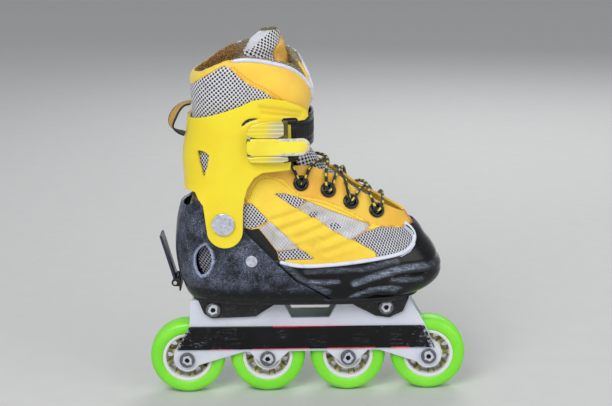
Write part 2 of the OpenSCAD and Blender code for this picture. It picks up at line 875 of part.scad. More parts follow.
module eyelets() {
    color("#0c0c0e")
        on_boot()
            for (side = [-1, 1])
                for (p = eyelet_at)
                    on_form(boot_slices, vamp_out, p[0], p[1], side)
                        translate([0, 0, eyelet_seat])
                            difference() {
                                cylinder(d = eyelet_d, h = eyelet_h);
                                translate([0, 0, -1])
                                    cylinder(d = eyelet_hole, h = eyelet_h + 2);
                            }
}

module cuff_outline() {
    lobe_r = 16.5;
    lobe = [pivot[0] + 1.2, pivot[1] - 6.5];
    polygon([for (p = [[-125, 110], [-101, 114], [-98, 104], [-93, 100], [-90.7, 76.5], [-57.7, 76.5],
            [-56.4, 105], [-52.5, 116.4], [-46, 126], [-38, 130.5], [-13, 132], [-11, 145], [-12, 177],
            [4, 177], [4, 184], [-3, 190], [-16, 196], [-32, 199], [-46, 197], [-57, 192], [-71, 187],
            [-88, 182], [-107, 178], [-125, 178]])
        [p[0] * stretch, p[1]]]);
    translate(lobe)
        circle(r = lobe_r);
}

module cuff() {
    color("#ffe93a")
        on_boot()
            difference() {
                intersection() {
                    layer(cuff_slices, 0, cuff_wall, cuff_span);
                    across()
                        cuff_outline();
                }
                cross_rod(pivot[0], pivot[1], bush_d / 2, -cut_reach, cut_reach);
                cross_rod(strap_rivet_at[0], strap_rivet_at[1], strap_shank_d / 2, 0, cut_reach);
                across()
                    polygon([for (p = [[-97, 150], [-87, 147], [-92, 127]]) [p[0] * stretch, p[1]]]);
                for (h = buckle_rivet_h)
                    cross_rod(buckle_rivet_x, h, buckle_rivet_d / 2, -cut_reach, 0);
            }
}

module cuff_bushes() {
    color("#e8e4d8")
        on_boot()
            for (side = [-1, 1])
                side_plate(side, cuff_y - cuff_wall, cuff_y - 0.2)
                    translate(pivot)
                        difference() {
                            circle(d = bush_d);
                            circle(r = pivot_d / 2 + pivot_gap);
                        }
}

module collar() {
    color("#f2a93c")
        on_boot()
            difference() {
                intersection() {
                    layer(collar_slices, 0, collar_pad, collar_span);
                    across()
                        polygon([for (p = [[-112, 216], [-88, 226], [-74, 233], [-59, 237], [-42, 237],
                                [-25, 232], [-7, 223], [6, 208], [14, 193], [14, 168], [0, 164], [-40, 150],
                                [-104, 134], [-112, 134]])
                            [p[0] * stretch, p[1]]]);
                }
                translate([-20 * stretch, -collar_slit / 2, 100])
                    cube([60, collar_slit, 160]);
            }
}

// Webbing bowed off the back of the cuff, from the collar down to the cuff
module pull_loop() {
    seat = 0.3;
    top = 188;
    foot = 158.6;
    bow = [for (p = [[-112, 187], [-119, 181], [-124.6, 171], [-124, 164.5], [-118, 160.5]])
        [p[0] * stretch, p[1]]];
    path = concat([[slice(collar_slices, top)[1] - seat, top]], bow,
        [[slice(cuff_slices, foot)[1] - seat, foot]]);
    n = len(path);
    color("#e8b800")
        on_boot()
            skin([for (i = [0:n - 1])
                let (v = path[min(i + 1, n - 1)] - path[max(i - 1, 0)],
                    out = [v[1], -v[0]] / norm(v) * loop_wall / 2)
                [for (c = [[1, -1], [1, 1], [-1, 1], [-1, -1]])
                    [path[i][0] + c[0] * out[0], c[1] * loop_w / 2, path[i][1] + c[0] * out[1]]]]);
}

module strap() {
    rise = 15;
    fall = 3;
    low = 140;
    rear = -34 * stretch;
    front = 24 * stretch;
    color("#0e0e10")
        on_boot()
            difference() {
                intersection() {
                    layer(cuff_slices, strap_out, strap_in, strap_span);
                    across()
                        polygon([[rear, low], [front, low + rise], [front, low + strap_h - fall],
                            [rear, low + strap_h]]);
                }
                cross_rod(strap_rivet_at[0], strap_rivet_at[1], strap_shank_d / 2, 0, cut_reach);
            }
}

module strap_rivet() {
    head_y = cuff_y - 0.6;
    color("silver")
        on_boot() {
            cross_rod(strap_rivet_at[0], strap_rivet_at[1], strap_shank_d / 2, head_y - strap_in, head_y + 1);
            cross_rod(strap_rivet_at[0], strap_rivet_at[1], strap_rivet_d / 2, head_y, head_y + strap_rivet_h);
        }
}

module buckle_base() {
    rear = buckle_x - 2;
    cheek_y = base_y + base_wall;
    color("#d5d6d2")
        on_boot()
            difference() {
                union() {
                    translate([rear, -cheek_y, base_low])
                        cube([base_len, base_wall, base_high - base_low]);
                    for (span = [[base_low, lower_cheek_h], [base_high - upper_cheek_h, upper_cheek_h]])
                        translate([rear, -cheek_out, span[0]])
                            cube([base_len, cheek_out - base_y, span[1]]);
                }
                translate([buckle_x, -pin_y, base_low - 1])
                    cylinder(d = buckle_pin_d, h = base_high - base_low + 2);
                for (h = buckle_rivet_h)
                    cross_rod(buckle_rivet_x, h, buckle_rivet_d / 2, -cheek_out - 1, 0);
            }
}

module buckle_rivets() {
    color("silver")
        on_boot()
            for (h = buckle_rivet_h)
                cross_rod(buckle_rivet_x, h, buckle_rivet_d / 2, -cheek_out, -cuff_y + cuff_wall);
}

module buckle_pin() {
    color("silver")
        on_boot()
            translate([buckle_x, -pin_y, base_low])
                cylinder(d = buckle_pin_d, h = base_high - base_low);
}

// Lever that lies flat over its base and bends round the leg towards its rounded tip
module buckle_lever() {
    flat = base_len - 1;
    bow = 40;
    tip_r = lever_h / 2;
    color("#ffe93a")
        on_boot()
            translate([buckle_x, -pin_y, lever_low])
                difference() {
                    union() {
                        cylinder(r = knuckle_r, h = lever_h);
                        intersection() {
                            union() {
                                translate([0, -knuckle_r, 0])
                                    cube([flat, lever_wall, lever_h]);
                                translate([flat, bow - knuckle_r, 0])
                                    rotate([0, 0, -90])
                                        rotate_extrude(angle = 60)
                                            translate([bow - lever_wall, 0])
                                                square([lever_wall, lever_h]);
                            }
                            union() {
                                translate([0, -20, 0])
                                    cube([lever_len - tip_r, 60, lever_h]);
                                translate([lever_len - tip_r, 40, tip_r])
                                    rotate([90, 0, 0])
                                        cylinder(r = tip_r, h = 60);
                            }
                        }
                    }
                    translate([0, 0, -1])
                        cylinder(r = buckle_pin_d / 2 + pivot_gap, h = lever_h + 2);
                }
}

module size_bracket() {
    inside = size_lever_w / 2 + lever_gap;
    plate_x = -119.4 * stretch;
    plate_wall = 1.6;
    plate_h = 13;
    ear_r = size_pin_d;
    color("#1c1d20")
        on_boot()
            difference() {
                union() {
                    translate([plate_x - plate_wall, -inside - ear_wall, size_pin[1] - 8])
                        cube([plate_wall, 2 * (inside + ear_wall), plate_h]);
                    for (side = [-1, 1])
                        side_plate(side, inside, inside + ear_wall) {
                            translate([size_pin[0], size_pin[1] - ear_r])
                                square([plate_x - size_pin[0] - plate_wall / 2, 2 * ear_r]);
                            translate(size_pin)
                                circle(r = ear_r);
                        }
                }
                cross_rod(size_pin[0], size_pin[1], size_pin_d / 2, -cut_reach, cut_reach);
            }
}

module size_lever_pin() {
    reach = size_lever_w / 2 + lever_gap + ear_wall;
    color("ivory")
        on_boot()
            cross_rod(size_pin[0], size_pin[1], size_pin_d / 2, -reach - 1, reach + 1);
}

module size_lever() {
    lean = 105.7;
    eye_wall = 1.3;
    color("#20242c")
        on_boot()
            side_plate(1, -size_lever_w / 2, size_lever_w / 2)
                difference() {
                    union() {
                        translate(size_pin)
                            circle(r = size_pin_d / 2 + eye_wall);
                        translate(size_pin)
                            rotate(lean)
                                translate([0, -eye_wall])
                                    square([size_lever_len, size_lever_wall]);
                    }
                    translate(size_pin)
                        circle(r = size_pin_d / 2 + pivot_gap);
                }
}

// Lace swept along its route
module lace() {
    color("#141414")
        on_boot()
            tube(lace_route, lace_d / 2, 8);
}

// Ring directions carried along a route without twist
function carried(u, t) = let (v = u - (u * t) * t) v / norm(v);

module tube(route, r, sides) {
    n = len(route);
    along = [for (i = [0:n - 1])
        let (v = route[min(i + 1, n - 1)] - route[max(i - 1, 0)]) v / norm(v)];
    up = [for (i = 0, u = carried([0.1, 0.2, 1], along[0]); i < n;
        i = i + 1, u = carried(u, along[min(i, n - 1)])) u];
    skin([for (i = [0:n - 1])
        let (w = cross(along[i], up[i]))
        [for (k = [0:sides - 1])
            route[i] + r * (cos(360 * k / sides) * up[i] + sin(360 * k / sides) * w)]]);
}

sole_plate();
rear_shell();
shell_rivets();
heel_liner();
footbed();
size_latch();
tongue();
frame();
side_panel_outer();
side_panel_inner();
mount_bolts();
mount_nuts();
axle_screws();
axle_barrels();
bearing_inner_rings();
bearing_spacers();
cuff_rivets();
size_bracket();
size_lever_pin();
size_lever();
toe_shell();
vamp();
piping();
eyelets();
lace();
size_rack();
cuff();
cuff_bushes();
collar();
pull_loop();
strap();
strap_rivet();
buckle_base();
buckle_rivets();
buckle_pin();
buckle_lever();
for (i = [1:4]) {
    tyre(i);
    hub(i);
    bearing_outer_rings(i);
    bearing_balls(i);
    bearing_shields(i);
}
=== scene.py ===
# %% [markdown]
# # An inline skate, dressed for the camera
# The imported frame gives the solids, the bodies that move and their joints. This lesson keeps every hard piece where
# the frame has it and adds what a photograph shows: moulded shells with soft rims, sewn textile, padding, wear.
# Lengths are metres, +X points to the toe, -Y to the buckle side, +Z up.

# %% Load the frame
import json
import math
from contextlib import contextmanager
import bmesh
import bpy
import numpy as np
from mathutils import Matrix, Vector, geometry
from mathutils.bvhtree import BVHTree

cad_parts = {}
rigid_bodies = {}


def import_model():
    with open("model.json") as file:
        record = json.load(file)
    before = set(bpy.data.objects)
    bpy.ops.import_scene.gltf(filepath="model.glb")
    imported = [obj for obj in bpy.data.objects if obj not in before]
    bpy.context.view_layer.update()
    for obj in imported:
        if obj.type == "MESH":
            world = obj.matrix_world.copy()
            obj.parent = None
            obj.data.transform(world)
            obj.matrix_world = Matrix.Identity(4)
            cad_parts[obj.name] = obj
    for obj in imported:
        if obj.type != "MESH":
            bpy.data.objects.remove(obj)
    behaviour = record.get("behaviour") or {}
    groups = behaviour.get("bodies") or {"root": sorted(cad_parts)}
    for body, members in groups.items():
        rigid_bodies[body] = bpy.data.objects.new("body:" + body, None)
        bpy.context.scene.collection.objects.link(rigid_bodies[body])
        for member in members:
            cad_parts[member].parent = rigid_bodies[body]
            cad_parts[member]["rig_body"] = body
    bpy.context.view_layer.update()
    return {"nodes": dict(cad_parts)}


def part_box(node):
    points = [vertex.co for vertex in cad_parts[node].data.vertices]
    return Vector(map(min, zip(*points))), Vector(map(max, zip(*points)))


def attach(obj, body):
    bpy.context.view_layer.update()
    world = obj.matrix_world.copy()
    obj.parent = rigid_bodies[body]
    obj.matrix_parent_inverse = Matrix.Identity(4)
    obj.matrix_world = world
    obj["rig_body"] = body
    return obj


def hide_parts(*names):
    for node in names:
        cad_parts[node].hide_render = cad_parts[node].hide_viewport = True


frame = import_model()
MM = 0.001
SIDES = (-1, 1)
BUCKLE_SIDE = -1
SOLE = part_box("rear_shell")[0].z - 4 * MM
BODY = {name: node["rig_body"] for name, node in frame["nodes"].items()}

# %% [markdown]
# ## Camera, floor and light
# A product shot is taken from a little above with a long lens, so the skate keeps its proportions. The camera could
# be aimed by eye, but its place was worked out from the axle bolts, and a small shift frames the skate as in the
# photograph. Light comes from large soft lamps, and the floor and world are plain and pale.

# %% Camera
PHOTO = (612, 406)
FOCAL_PIXELS = 1500
CAMERA_AT = (1.6 * MM, -1.380, 0.531)
CAMERA_PITCH = math.radians(12)
CAMERA_ROLL = math.radians(0.97)
HORIZON_PIXEL = 148


def placed(name, data):
    """A new object of the scene that shows a mesh, a lamp or a camera."""
    obj = bpy.data.objects.new(name, data)
    bpy.context.scene.collection.objects.link(obj)
    return obj


def place_camera():
    """The camera of the photograph: looks along +Y and down, with the frame shifted below its axis."""
    data = bpy.data.cameras.new("camera")
    data.sensor_width = 36
    data.lens = FOCAL_PIXELS * data.sensor_width / PHOTO[0]
    data.shift_y = (HORIZON_PIXEL - PHOTO[1] / 2) / PHOTO[0]
    camera = placed("camera", data)
    camera.location = CAMERA_AT
    aim = Matrix.Rotation(math.pi / 2 - CAMERA_PITCH, 4, "X") @ Matrix.Rotation(-CAMERA_ROLL, 4, "Z")
    camera.rotation_euler = aim.to_euler()
    bpy.context.scene.camera = camera
    return camera


camera = place_camera()
bpy.context.scene.view_settings.view_transform = "Standard"
print("camera lens", round(camera.data.lens, 1), "shift", round(camera.data.shift_y, 3))


# %% [markdown]
# ## A small workshop for finishes
# Every material is made of shader nodes. Wiring nodes by hand takes many lines, so a helper holds the tree, and each
# method adds one node and returns its output. Outputs can be added and multiplied like numbers, which makes the Math
# nodes. Colours are given as a photo editor shows them.

# %% Finish helper
def linear(*tint):
    """Linear colour from the 0 to 255 values of a photo editor."""
    part = [c / 255 for c in tint]
    return [c / 12.92 if c <= 0.04045 else ((c + 0.055) / 1.055) ** 2.4 for c in part] + [1.0]


def wired(tree, kind, inputs, **settings):
    """A node with its settings made and its inputs linked or set."""
    node = tree.nodes.new(kind)
    for key, value in settings.items():
        setattr(node, key, value)
    for key, value in inputs.items():
        put(tree, node.inputs[key], value)
    return node


def put(tree, socket, value):
    """Links an output to a socket, or sets its value."""
    output = value.socket if isinstance(value, Signal) else value
    if isinstance(output, bpy.types.NodeSocket):
        tree.links.new(output, socket)
    else:
        socket.default_value = output


class Signal:
    """An output of a node, to reckon with."""

    def __init__(self, wiring, socket):
        self.wiring, self.socket = wiring, socket

    def __add__(self, other):
        return self.wiring.math("ADD", self, other)

    def __sub__(self, other):
        return self.wiring.math("SUBTRACT", self, other)

    def __rsub__(self, other):
        return self.wiring.math("SUBTRACT", other, self)

    def __mul__(self, other):
        return self.wiring.math("MULTIPLY", self, other)

    def __abs__(self):
        return self.wiring.math("ABSOLUTE", self)

    __radd__ = __add__


class Wiring:
    """A node tree under construction."""

    def node(self, kind, inputs, output=0, **settings):
        return Signal(self, wired(self.tree, kind, inputs, **settings).outputs[output])

    def math(self, operation, a, b=0.0, clamp=False):
        return self.node("ShaderNodeMath", {0: a, 1: b}, operation=operation, use_clamp=clamp)


class Finish(Wiring):
    """A material under construction."""

    def __init__(self, name):
        self.material = bpy.data.materials.new(name)
        self.material.use_nodes = True
        self.tree = self.material.node_tree
        self.shader = self.tree.nodes["Principled BSDF"]

    def most(self, a, b, clamp=False):
        return self.math("MAXIMUM", a, b, clamp)

    def sine(self, value):
        return self.math("SINE", value)

    def place(self):
        return self.node("ShaderNodeTexCoord", {}, "Object")

    def flat(self):
        return self.node("ShaderNodeUVMap", {}, uv_map="girth")

    def axis(self, name, vector=None):
        """X, Y or Z of a vector, or of the place on the object."""
        return self.node("ShaderNodeSeparateXYZ", {0: vector or self.place()}, name)

    def measure(self, name):
        return self.node("ShaderNodeAttribute", {}, "Fac", attribute_name=name)

    def mapped(self, vector, scale=(1, 1, 1), turn=(0, 0, 0)):
        return self.node("ShaderNodeMapping", {"Vector": vector, "Scale": scale, "Rotation": turn})

    def noise(self, scale, detail=4.0, rough=0.55, vector=None):
        inputs = {"Vector": vector or self.place(), "Scale": scale, "Detail": detail, "Roughness": rough}
        return self.node("ShaderNodeTexNoise", inputs)

    def cells(self, scale):
        """Distance from the edges of small cells."""
        inputs = {"Vector": self.place(), "Scale": scale}
        return self.node("ShaderNodeTexVoronoi", inputs, "Distance", feature="DISTANCE_TO_EDGE")

    def step(self, value, low, high, to_low=0.0, to_high=1.0):
        """Smooth step of a value between two edges."""
        inputs = {"Value": value, "From Min": low, "From Max": high, "To Min": to_low, "To Max": to_high}
        return self.node("ShaderNodeMapRange", inputs, interpolation_type="SMOOTHSTEP")

    def patches(self, low, high, *noise):
        """Soft patches where a noise rises between two values."""
        return self.step(self.noise(*noise), low, high)

    def rise(self, value, low, high):
        """A smooth step of a length, between two millimetre marks."""
        return self.step(value, low * MM, high * MM)

    def blend(self, share, a, b):
        """Colour a where share is 0, b where it is 1. Each is a blend or red, green and blue up to 255."""
        a, b = (linear(*c) if isinstance(c, tuple) else c for c in (a, b))
        return self.node("ShaderNodeMix", {0: share, 6: a, 7: b}, 2, data_type="RGBA")

    def bump(self, height, distance, under=None):
        inputs = {"Height": height, "Distance": distance, "Strength": 1.0}
        if under is not None:
            inputs["Normal"] = under
        return self.node("ShaderNodeBump", inputs)

    def done(self, **inputs):
        for key, value in inputs.items():
            put(self.tree, self.shader.inputs[key.replace("_", " ")], value)
        return self.material


print("finish helper ready")


# %% Floor and light
FLOOR_SIZE = 14.0
SKY = 0.42
LAMP_AIM = Vector((0, 0, 0.17))


def floor_finish():
    """Pale paper with a breath of grain."""
    f = Finish("pale paper")
    grain = f.noise(40, 2)
    colour = f.blend(grain, [0.62, 0.62, 0.615, 1], [0.66, 0.66, 0.655, 1])
    return f.done(Base_Color=colour, Roughness=0.9, Normal=f.bump(grain, 0.0002))


def lamp(name, size, energy, at):
    data = bpy.data.lights.new(name, "AREA")
    data.size = size
    data.energy = energy
    light = placed(name, data)
    light.location = at
    light.rotation_euler = (LAMP_AIM - Vector(at)).to_track_quat("-Z", "Y").to_euler()


def set_stage():
    mesh = bpy.data.meshes.new("floor")
    reach = FLOOR_SIZE / 2
    corners = [(-reach, -reach, 0), (reach, -reach, 0), (reach, reach, 0), (-reach, reach, 0)]
    mesh.from_pydata(corners, [], [(0, 1, 2, 3)])
    floor = placed("floor", mesh)
    mesh.materials.append(floor_finish())
    world = bpy.data.worlds.new("studio")
    world.use_nodes = True
    sky = world.node_tree.nodes["Background"].inputs
    sky["Color"].default_value = (0.9, 0.92, 0.95, 1)
    sky["Strength"].default_value = SKY
    bpy.context.scene.world = world
    lamp("key", 1.1, 24, (-0.7, -1.5, 1.5))
    lamp("fill", 1.4, 10, (1.4, -1.2, 0.9))
    lamp("rim", 1.0, 10, (0.4, 1.4, 1.2))


set_stage()
print("stage set")

# %% [markdown]
# ## The boot as a flat pattern
# A shoemaker draws the upper flat and bends it round a last. The same idea works here: the frame's boot is a loft
# through level slices, and each slice can be unrolled from the toe to the heel. Outlines are drawn in side view,
# unrolled, filled with triangles and bent back, so that rims are exact and a weave keeps its scale on the surface.

# %% Last: the lofts that the frame uses
ANKLE = 0.4
LEVEL = 2 * MM


def run_of(path):
    """Distance from the start of a line to each of its points."""
    return np.r_[0, np.cumsum(np.linalg.norm(np.diff(path, axis=0), axis=1))]


def unit(vectors, least=0.0):
    """Vectors of length 1, or nearly 0 where they are shorter than the least."""
    return vectors / (np.linalg.norm(vectors, axis=1)[:, None] + least)


class Last:
    """Loft through level slices: height above the sole, heel, toe, half width, taper, fullness."""

    def __init__(self, rows):
        rows = np.array(rows, float)
        self.h = rows[:, 0] * MM
        self.values = rows[:, 1:] * np.array([MM, MM, MM, 1, 1])
        self.slopes = np.gradient(self.values, self.h, axis=0)
        self.tables = {}

    def slice(self, h):
        """Smooth slice values at heights h."""
        h = np.clip(h, self.h[0], self.h[-1])
        i = np.clip(np.searchsorted(self.h, h, side="right") - 1, 0, len(self.h) - 2)
        run = (self.h[i + 1] - self.h[i])[..., None]
        t = (h - self.h[i])[..., None] / run
        start = self.values[i] * (1 + 2 * t) + self.slopes[i] * run * t
        end = self.values[i + 1] * (3 - 2 * t) - self.slopes[i + 1] * run * (1 - t)
        return start * (1 - t) ** 2 + end * t ** 2

    def rim(self, angle, h, depth):
        """Points of the buckle side: angle 0 at the toe, pi at the heel."""
        heel, toe, half, taper, full = np.moveaxis(self.slice(h), -1, 0)
        c, s = np.cos(angle), np.sin(angle)
        r = (np.abs(c) ** full + np.abs(s) ** full) ** (-1 / full)
        x = (heel + toe) / 2 + ((toe - heel) / 2 - depth) * c * r
        y = -(half - depth) * np.abs(s) * r * (1 + taper * (c * r + ANKLE))
        return np.stack([x, y, h], -1)

    def table(self, depth):
        """Angles at even shares of the girth, and the girth, at heights a level apart."""
        key = round(depth * 1e6)
        if key not in self.tables:
            heights = np.arange(self.h[0], self.h[-1] + LEVEL, LEVEL)
            fine = np.linspace(0, np.pi, 601)
            rows, girths = [], []
            for h in heights:
                run = run_of(self.rim(fine, np.full_like(fine, h), depth)[:, :2])
                rows.append(np.interp(np.linspace(0, 1, 201), run / run[-1], fine))
                girths.append(run[-1])
            self.tables[key] = heights, np.array(rows), float(np.mean(girths))
        return self.tables[key]

    def bend(self, flat, depth):
        """Points of the buckle side from flat ones: girth from the toe and height above the sole."""
        heights, rows, girth = self.table(depth)
        share = np.clip(flat[:, 0] / girth, 0, 1) * (rows.shape[1] - 1)
        level = np.clip((flat[:, 1] - heights[0]) / LEVEL, 0, len(heights) - 1.001)
        i, j = level.astype(int), np.minimum(share.astype(int), rows.shape[1] - 2)
        a, b = level - i, share - j
        angle = (rows[i, j] * (1 - b) + rows[i, j + 1] * b) * (1 - a)
        angle += (rows[i + 1, j] * (1 - b) + rows[i + 1, j + 1] * b) * a
        return self.rim(angle, flat[:, 1], depth)

    def unroll(self, side_view, depth):
        """Flat points from points drawn in side view: x and height above the sole."""
        heights, rows, girth = self.table(depth)
        points = np.array(side_view, float)
        heel, toe, _, _, full = np.moveaxis(self.slice(points[:, 1]), -1, 0)
        t = np.clip((points[:, 0] - (heel + toe) / 2) / ((toe - heel) / 2 - depth), -1, 1)
        angle = np.arctan2((1 - np.abs(t) ** full) ** (1 / full), t)
        level = np.clip((points[:, 1] - heights[0]) / LEVEL, 0, len(heights) - 1.001).astype(int)
        even = np.linspace(0, girth, rows.shape[1])
        girths = [np.interp(a, rows[i], even) for a, i in zip(angle, level)]
        return np.column_stack([girths, points[:, 1]])

    def normal(self, flat, depth):
        """Outward directions on the buckle side."""
        e = 0.4 * MM
        across = self.bend(flat + [e, 0], depth) - self.bend(flat - [e, 0], depth)
        up = self.bend(flat + [0, e], depth) - self.bend(flat - [0, e], depth)
        return unit(np.cross(up, across), 1e-12)


BOOT = Last([
    [2, -110, 98, 36, 0.10, 3.0], [9, -114.5, 114, 41, 0.10, 3.0], [17, -117.5, 124.5, 43.5, 0.09, 3.0],
    [25, -120.5, 128.6, 45, 0.08, 3.0], [37, -122.8, 126, 46, 0.05, 2.9], [51, -124, 119, 46.5, 0, 2.7],
    [58, -123.8, 113.5, 47, -0.04, 2.6], [67, -123, 108, 47.5, -0.09, 2.6], [77, -122, 99.5, 48.3, -0.15, 2.4],
    [86, -120.2, 96, 48.5, -0.24, 2.3], [95, -117.5, 86.5, 48, -0.28, 2.3], [103, -115, 70.6, 46.5, -0.28, 2.3],
    [114, -113, 51.6, 44.5, -0.26, 2.3], [126, -113, 36.6, 43, -0.22, 2.3], [141, -113, 15.6, 42, -0.12, 2.3]])
CUFF_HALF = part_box("cuff")[1].y / MM
CUFF = Last([
    [50, -114, 14, CUFF_HALF, 0, 8.0], [92, -113, 14, CUFF_HALF, 0, 8.0], [104, -112.5, 14, CUFF_HALF, 0, 5.0],
    [116, -113, 13.5, CUFF_HALF - 0.1, 0, 3.4], [125, -113.6, 13, CUFF_HALF - 0.2, 0, 3.0],
    [135, -114.3, 13, CUFF_HALF - 0.4, 0, 2.8], [148, -113.4, 12.6, CUFF_HALF - 0.6, 0, 2.7],
    [162, -110.6, 12.6, CUFF_HALF - 0.6, 0, 2.7], [179, -108.6, 12.6, CUFF_HALF - 0.6, 0, 2.7],
    [205, -106, 11, CUFF_HALF - 0.6, 0, 2.7]])
COLLAR_HALF = CUFF_HALF - 6.4
COLLAR = Last([
    [130, -104, -1, COLLAR_HALF - 3, 0, 2.5], [150, -105, 1.5, COLLAR_HALF - 2.4, 0, 2.5],
    [167, -105.2, 4.6, COLLAR_HALF - 1, 0, 2.5], [182, -104, 6.8, COLLAR_HALF - 0.4, 0, 2.5],
    [192, -104.6, 9.6, COLLAR_HALF + 2, 0, 2.5], [201, -105.2, 10, COLLAR_HALF + 2.4, 0, 2.5],
    [211, -105.6, 6, COLLAR_HALF + 2.2, 0, 2.5], [225, -105.6, -4, COLLAR_HALF + 0.8, 0, 2.5],
    [241, -104, -20, COLLAR_HALF - 1.2, 0, 2.5]])
print("boot girth", round(2 * BOOT.table(0)[2], 3), "m, cuff half width", round(CUFF_HALF, 1), "mm")


# %% Pattern cutting: outlines, triangles and distances
def mm(points):
    """Points given in millimetres."""
    return np.array(points, float) * MM


def dense(loop, step, closed=True):
    """A line with points no more than a step apart."""
    loop = np.array(loop, float)
    ends = np.roll(loop, -1, axis=0) if closed else loop[1:]
    out = []
    for a, b in zip(loop, ends):
        count = max(1, math.ceil(np.linalg.norm(b - a) / step))
        out += [a + (b - a) * k / count for k in range(count)]
    return np.array(out if closed else out + [loop[-1]])


def rounded(loop, times=2):
    """A closed line with its corners cut, so that it runs as a soft curve."""
    loop = np.array(loop, float)
    for _ in range(times):
        nxt = np.roll(loop, -1, axis=0)
        loop = np.stack([0.75 * loop + 0.25 * nxt, 0.25 * loop + 0.75 * nxt], 1).reshape(-1, loop.shape[1])
    return loop


def smooth_line(points, times=2):
    """An open line drawn as a soft curve that keeps its ends."""
    points = np.array(points, float)
    for _ in range(times):
        a, b = points[:-1], points[1:]
        mid = np.stack([0.75 * a + 0.25 * b, 0.25 * a + 0.75 * b], 1).reshape(-1, points.shape[1])
        points = np.vstack([points[:1], mid, points[-1:]])
    return points


def inside(points, loop):
    """Whether each point lies inside a closed line."""
    a, b = loop, np.roll(loop, -1, axis=0)
    x, y = points[:, 0, None], points[:, 1, None]
    spans = (a[:, 1] > y) != (b[:, 1] > y)
    rise = np.where(b[:, 1] == a[:, 1], 1e-12, b[:, 1] - a[:, 1])
    crosses = spans & (x < (b[:, 0] - a[:, 0]) * (y - a[:, 1]) / rise + a[:, 0])
    return crosses.sum(1) % 2 == 1


def distance(points, line, closed=True):
    """Distance of each point from a line."""
    a = line if closed else line[:-1]
    b = np.roll(line, -1, axis=0) if closed else line[1:]
    d = b - a
    rel = points[:, None, :] - a
    t = np.clip((rel * d).sum(2) / ((d * d).sum(1) + 1e-18), 0, 1)
    return np.sqrt(((rel - t[..., None] * d) ** 2).sum(2).min(1))


def depth_in(points, loop):
    """Distance from a closed line, positive inside it."""
    return np.where(inside(points, loop), 1, -1) * distance(points, loop)


def fill(loops, step):
    """Triangles inside the first loop and outside the others, with points about a step apart."""
    low, high = loops[0].min(0), loops[0].max(0)
    rows = np.arange(low[1], high[1], step * 0.87)
    across = np.arange(low[0], high[0], step)
    grid = np.array([[u + (k % 2) * step / 2, v] for k, v in enumerate(rows) for u in across])
    keep = inside(grid, loops[0]) & (distance(grid, loops[0]) > 0.55 * step)
    for hole in loops[1:]:
        keep &= ~inside(grid, hole) & (distance(grid, hole) > 0.55 * step)
    points = np.vstack([*loops, grid[keep]])
    edges, start = [], 0
    for loop in loops:
        edges += [(start + i, start + (i + 1) % len(loop)) for i in range(len(loop))]
        start += len(loop)
    made = geometry.delaunay_2d_cdt([Vector(p) for p in points], edges, [], 0, 1e-8)
    flat = np.array([v[:] for v in made[0]])
    tris = np.array(made[2])
    mid = flat[tris].mean(1)
    wanted = inside(mid, loops[0])
    for hole in loops[1:]:
        wanted &= ~inside(mid, hole)
    return flat, tris[wanted]


print("pattern cutting ready")


# %% Pieces: from points to an object on a body
def piece(name, verts, faces, material, uv=None, body=None, replaces=(), slot=None):
    """A mesh object in its place, riding on a body and standing for CAD nodes."""
    mesh = bpy.data.meshes.new(name)
    mesh.from_pydata([tuple(v) for v in verts], [], [tuple(f) for f in faces])
    if uv is not None:
        lay_flat(mesh, uv)
    mesh.materials.append(material)
    mesh.shade_smooth()
    return mount(placed(name, mesh), body, replaces, slot)


def lay_flat(mesh, uv):
    """Keeps the flat place of every point, for a weave to follow."""
    layer = mesh.uv_layers.get("girth") or mesh.uv_layers.new(name="girth")
    index = np.zeros(len(mesh.loops), int)
    mesh.loops.foreach_get("vertex_index", index)
    layer.data.foreach_set("uv", np.asarray(uv, float)[index].astype(np.float32).ravel())


def mount(obj, body, replaces=(), slot=None):
    """Sets a piece on a body, given by its own name or that of a solid on it."""
    if body:
        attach(obj, BODY.get(body, body))
    if replaces:
        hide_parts(*replaces)
    return obj


def stands_for(node, slot):
    """What a piece says to take the place of one solid."""
    return {"body": node, "replaces": [node], "slot": slot}


def points_of(mesh):
    at = np.zeros(len(mesh.vertices) * 3, np.float32)
    mesh.vertices.foreach_get("co", at)
    return at.reshape(-1, 3).astype(float)


def measure_on(obj, **measures):
    """Keeps named numbers at every point, for the finish to read."""
    for name, values in measures.items():
        layer = obj.data.attributes.new(name, "FLOAT", "POINT")
        layer.data.foreach_set("value", np.asarray(values, np.float32))


def modifier(obj, kind, **settings):
    made = obj.modifiers.new(kind.lower(), kind)
    for key, value in settings.items():
        setattr(made, key, value)
    return made


@contextmanager
def edited(mesh):
    """A mesh opened for editing, and written back."""
    work = bmesh.new()
    work.from_mesh(mesh)
    yield work
    work.to_mesh(mesh)
    work.free()


def panel(name, last, depth, outline, material, holes=(), step=3 * MM, relief=None, **where):
    """A sheet cut to an outline drawn in side view and bent round both sides of the last."""
    loops = [last.unroll(dense(loop, step), depth) for loop in (outline, *holes)]
    flat, tris = fill(loops, step)
    flat[:, 0] = np.clip(flat[:, 0], 0, last.table(depth)[2])
    at = last.bend(flat, depth)
    out = last.normal(flat, depth)
    verts, faces, uv = [], [], []
    for side in SIDES:
        p = at + out * relief(flat, side)[:, None] if relief else at.copy()
        p[:, 1] *= -side
        p[:, 2] += SOLE
        a, b, c = p[tris[:, 0]], p[tris[:, 1]], p[tris[:, 2]]
        facing = np.cross(b - a, c - a)
        wanted = out[tris[:, 0]] * [1, -side, 1]
        turned = (facing * wanted).sum(1) < 0
        start = sum(len(v) for v in verts)
        faces.append(np.where(turned[:, None], tris[:, ::-1], tris) + start)
        verts.append(p)
        uv.append(flat * [side, 1])
    obj = piece(name, np.vstack(verts), np.vstack(faces), material, np.vstack(uv), **where)
    close_seam(obj)
    return obj


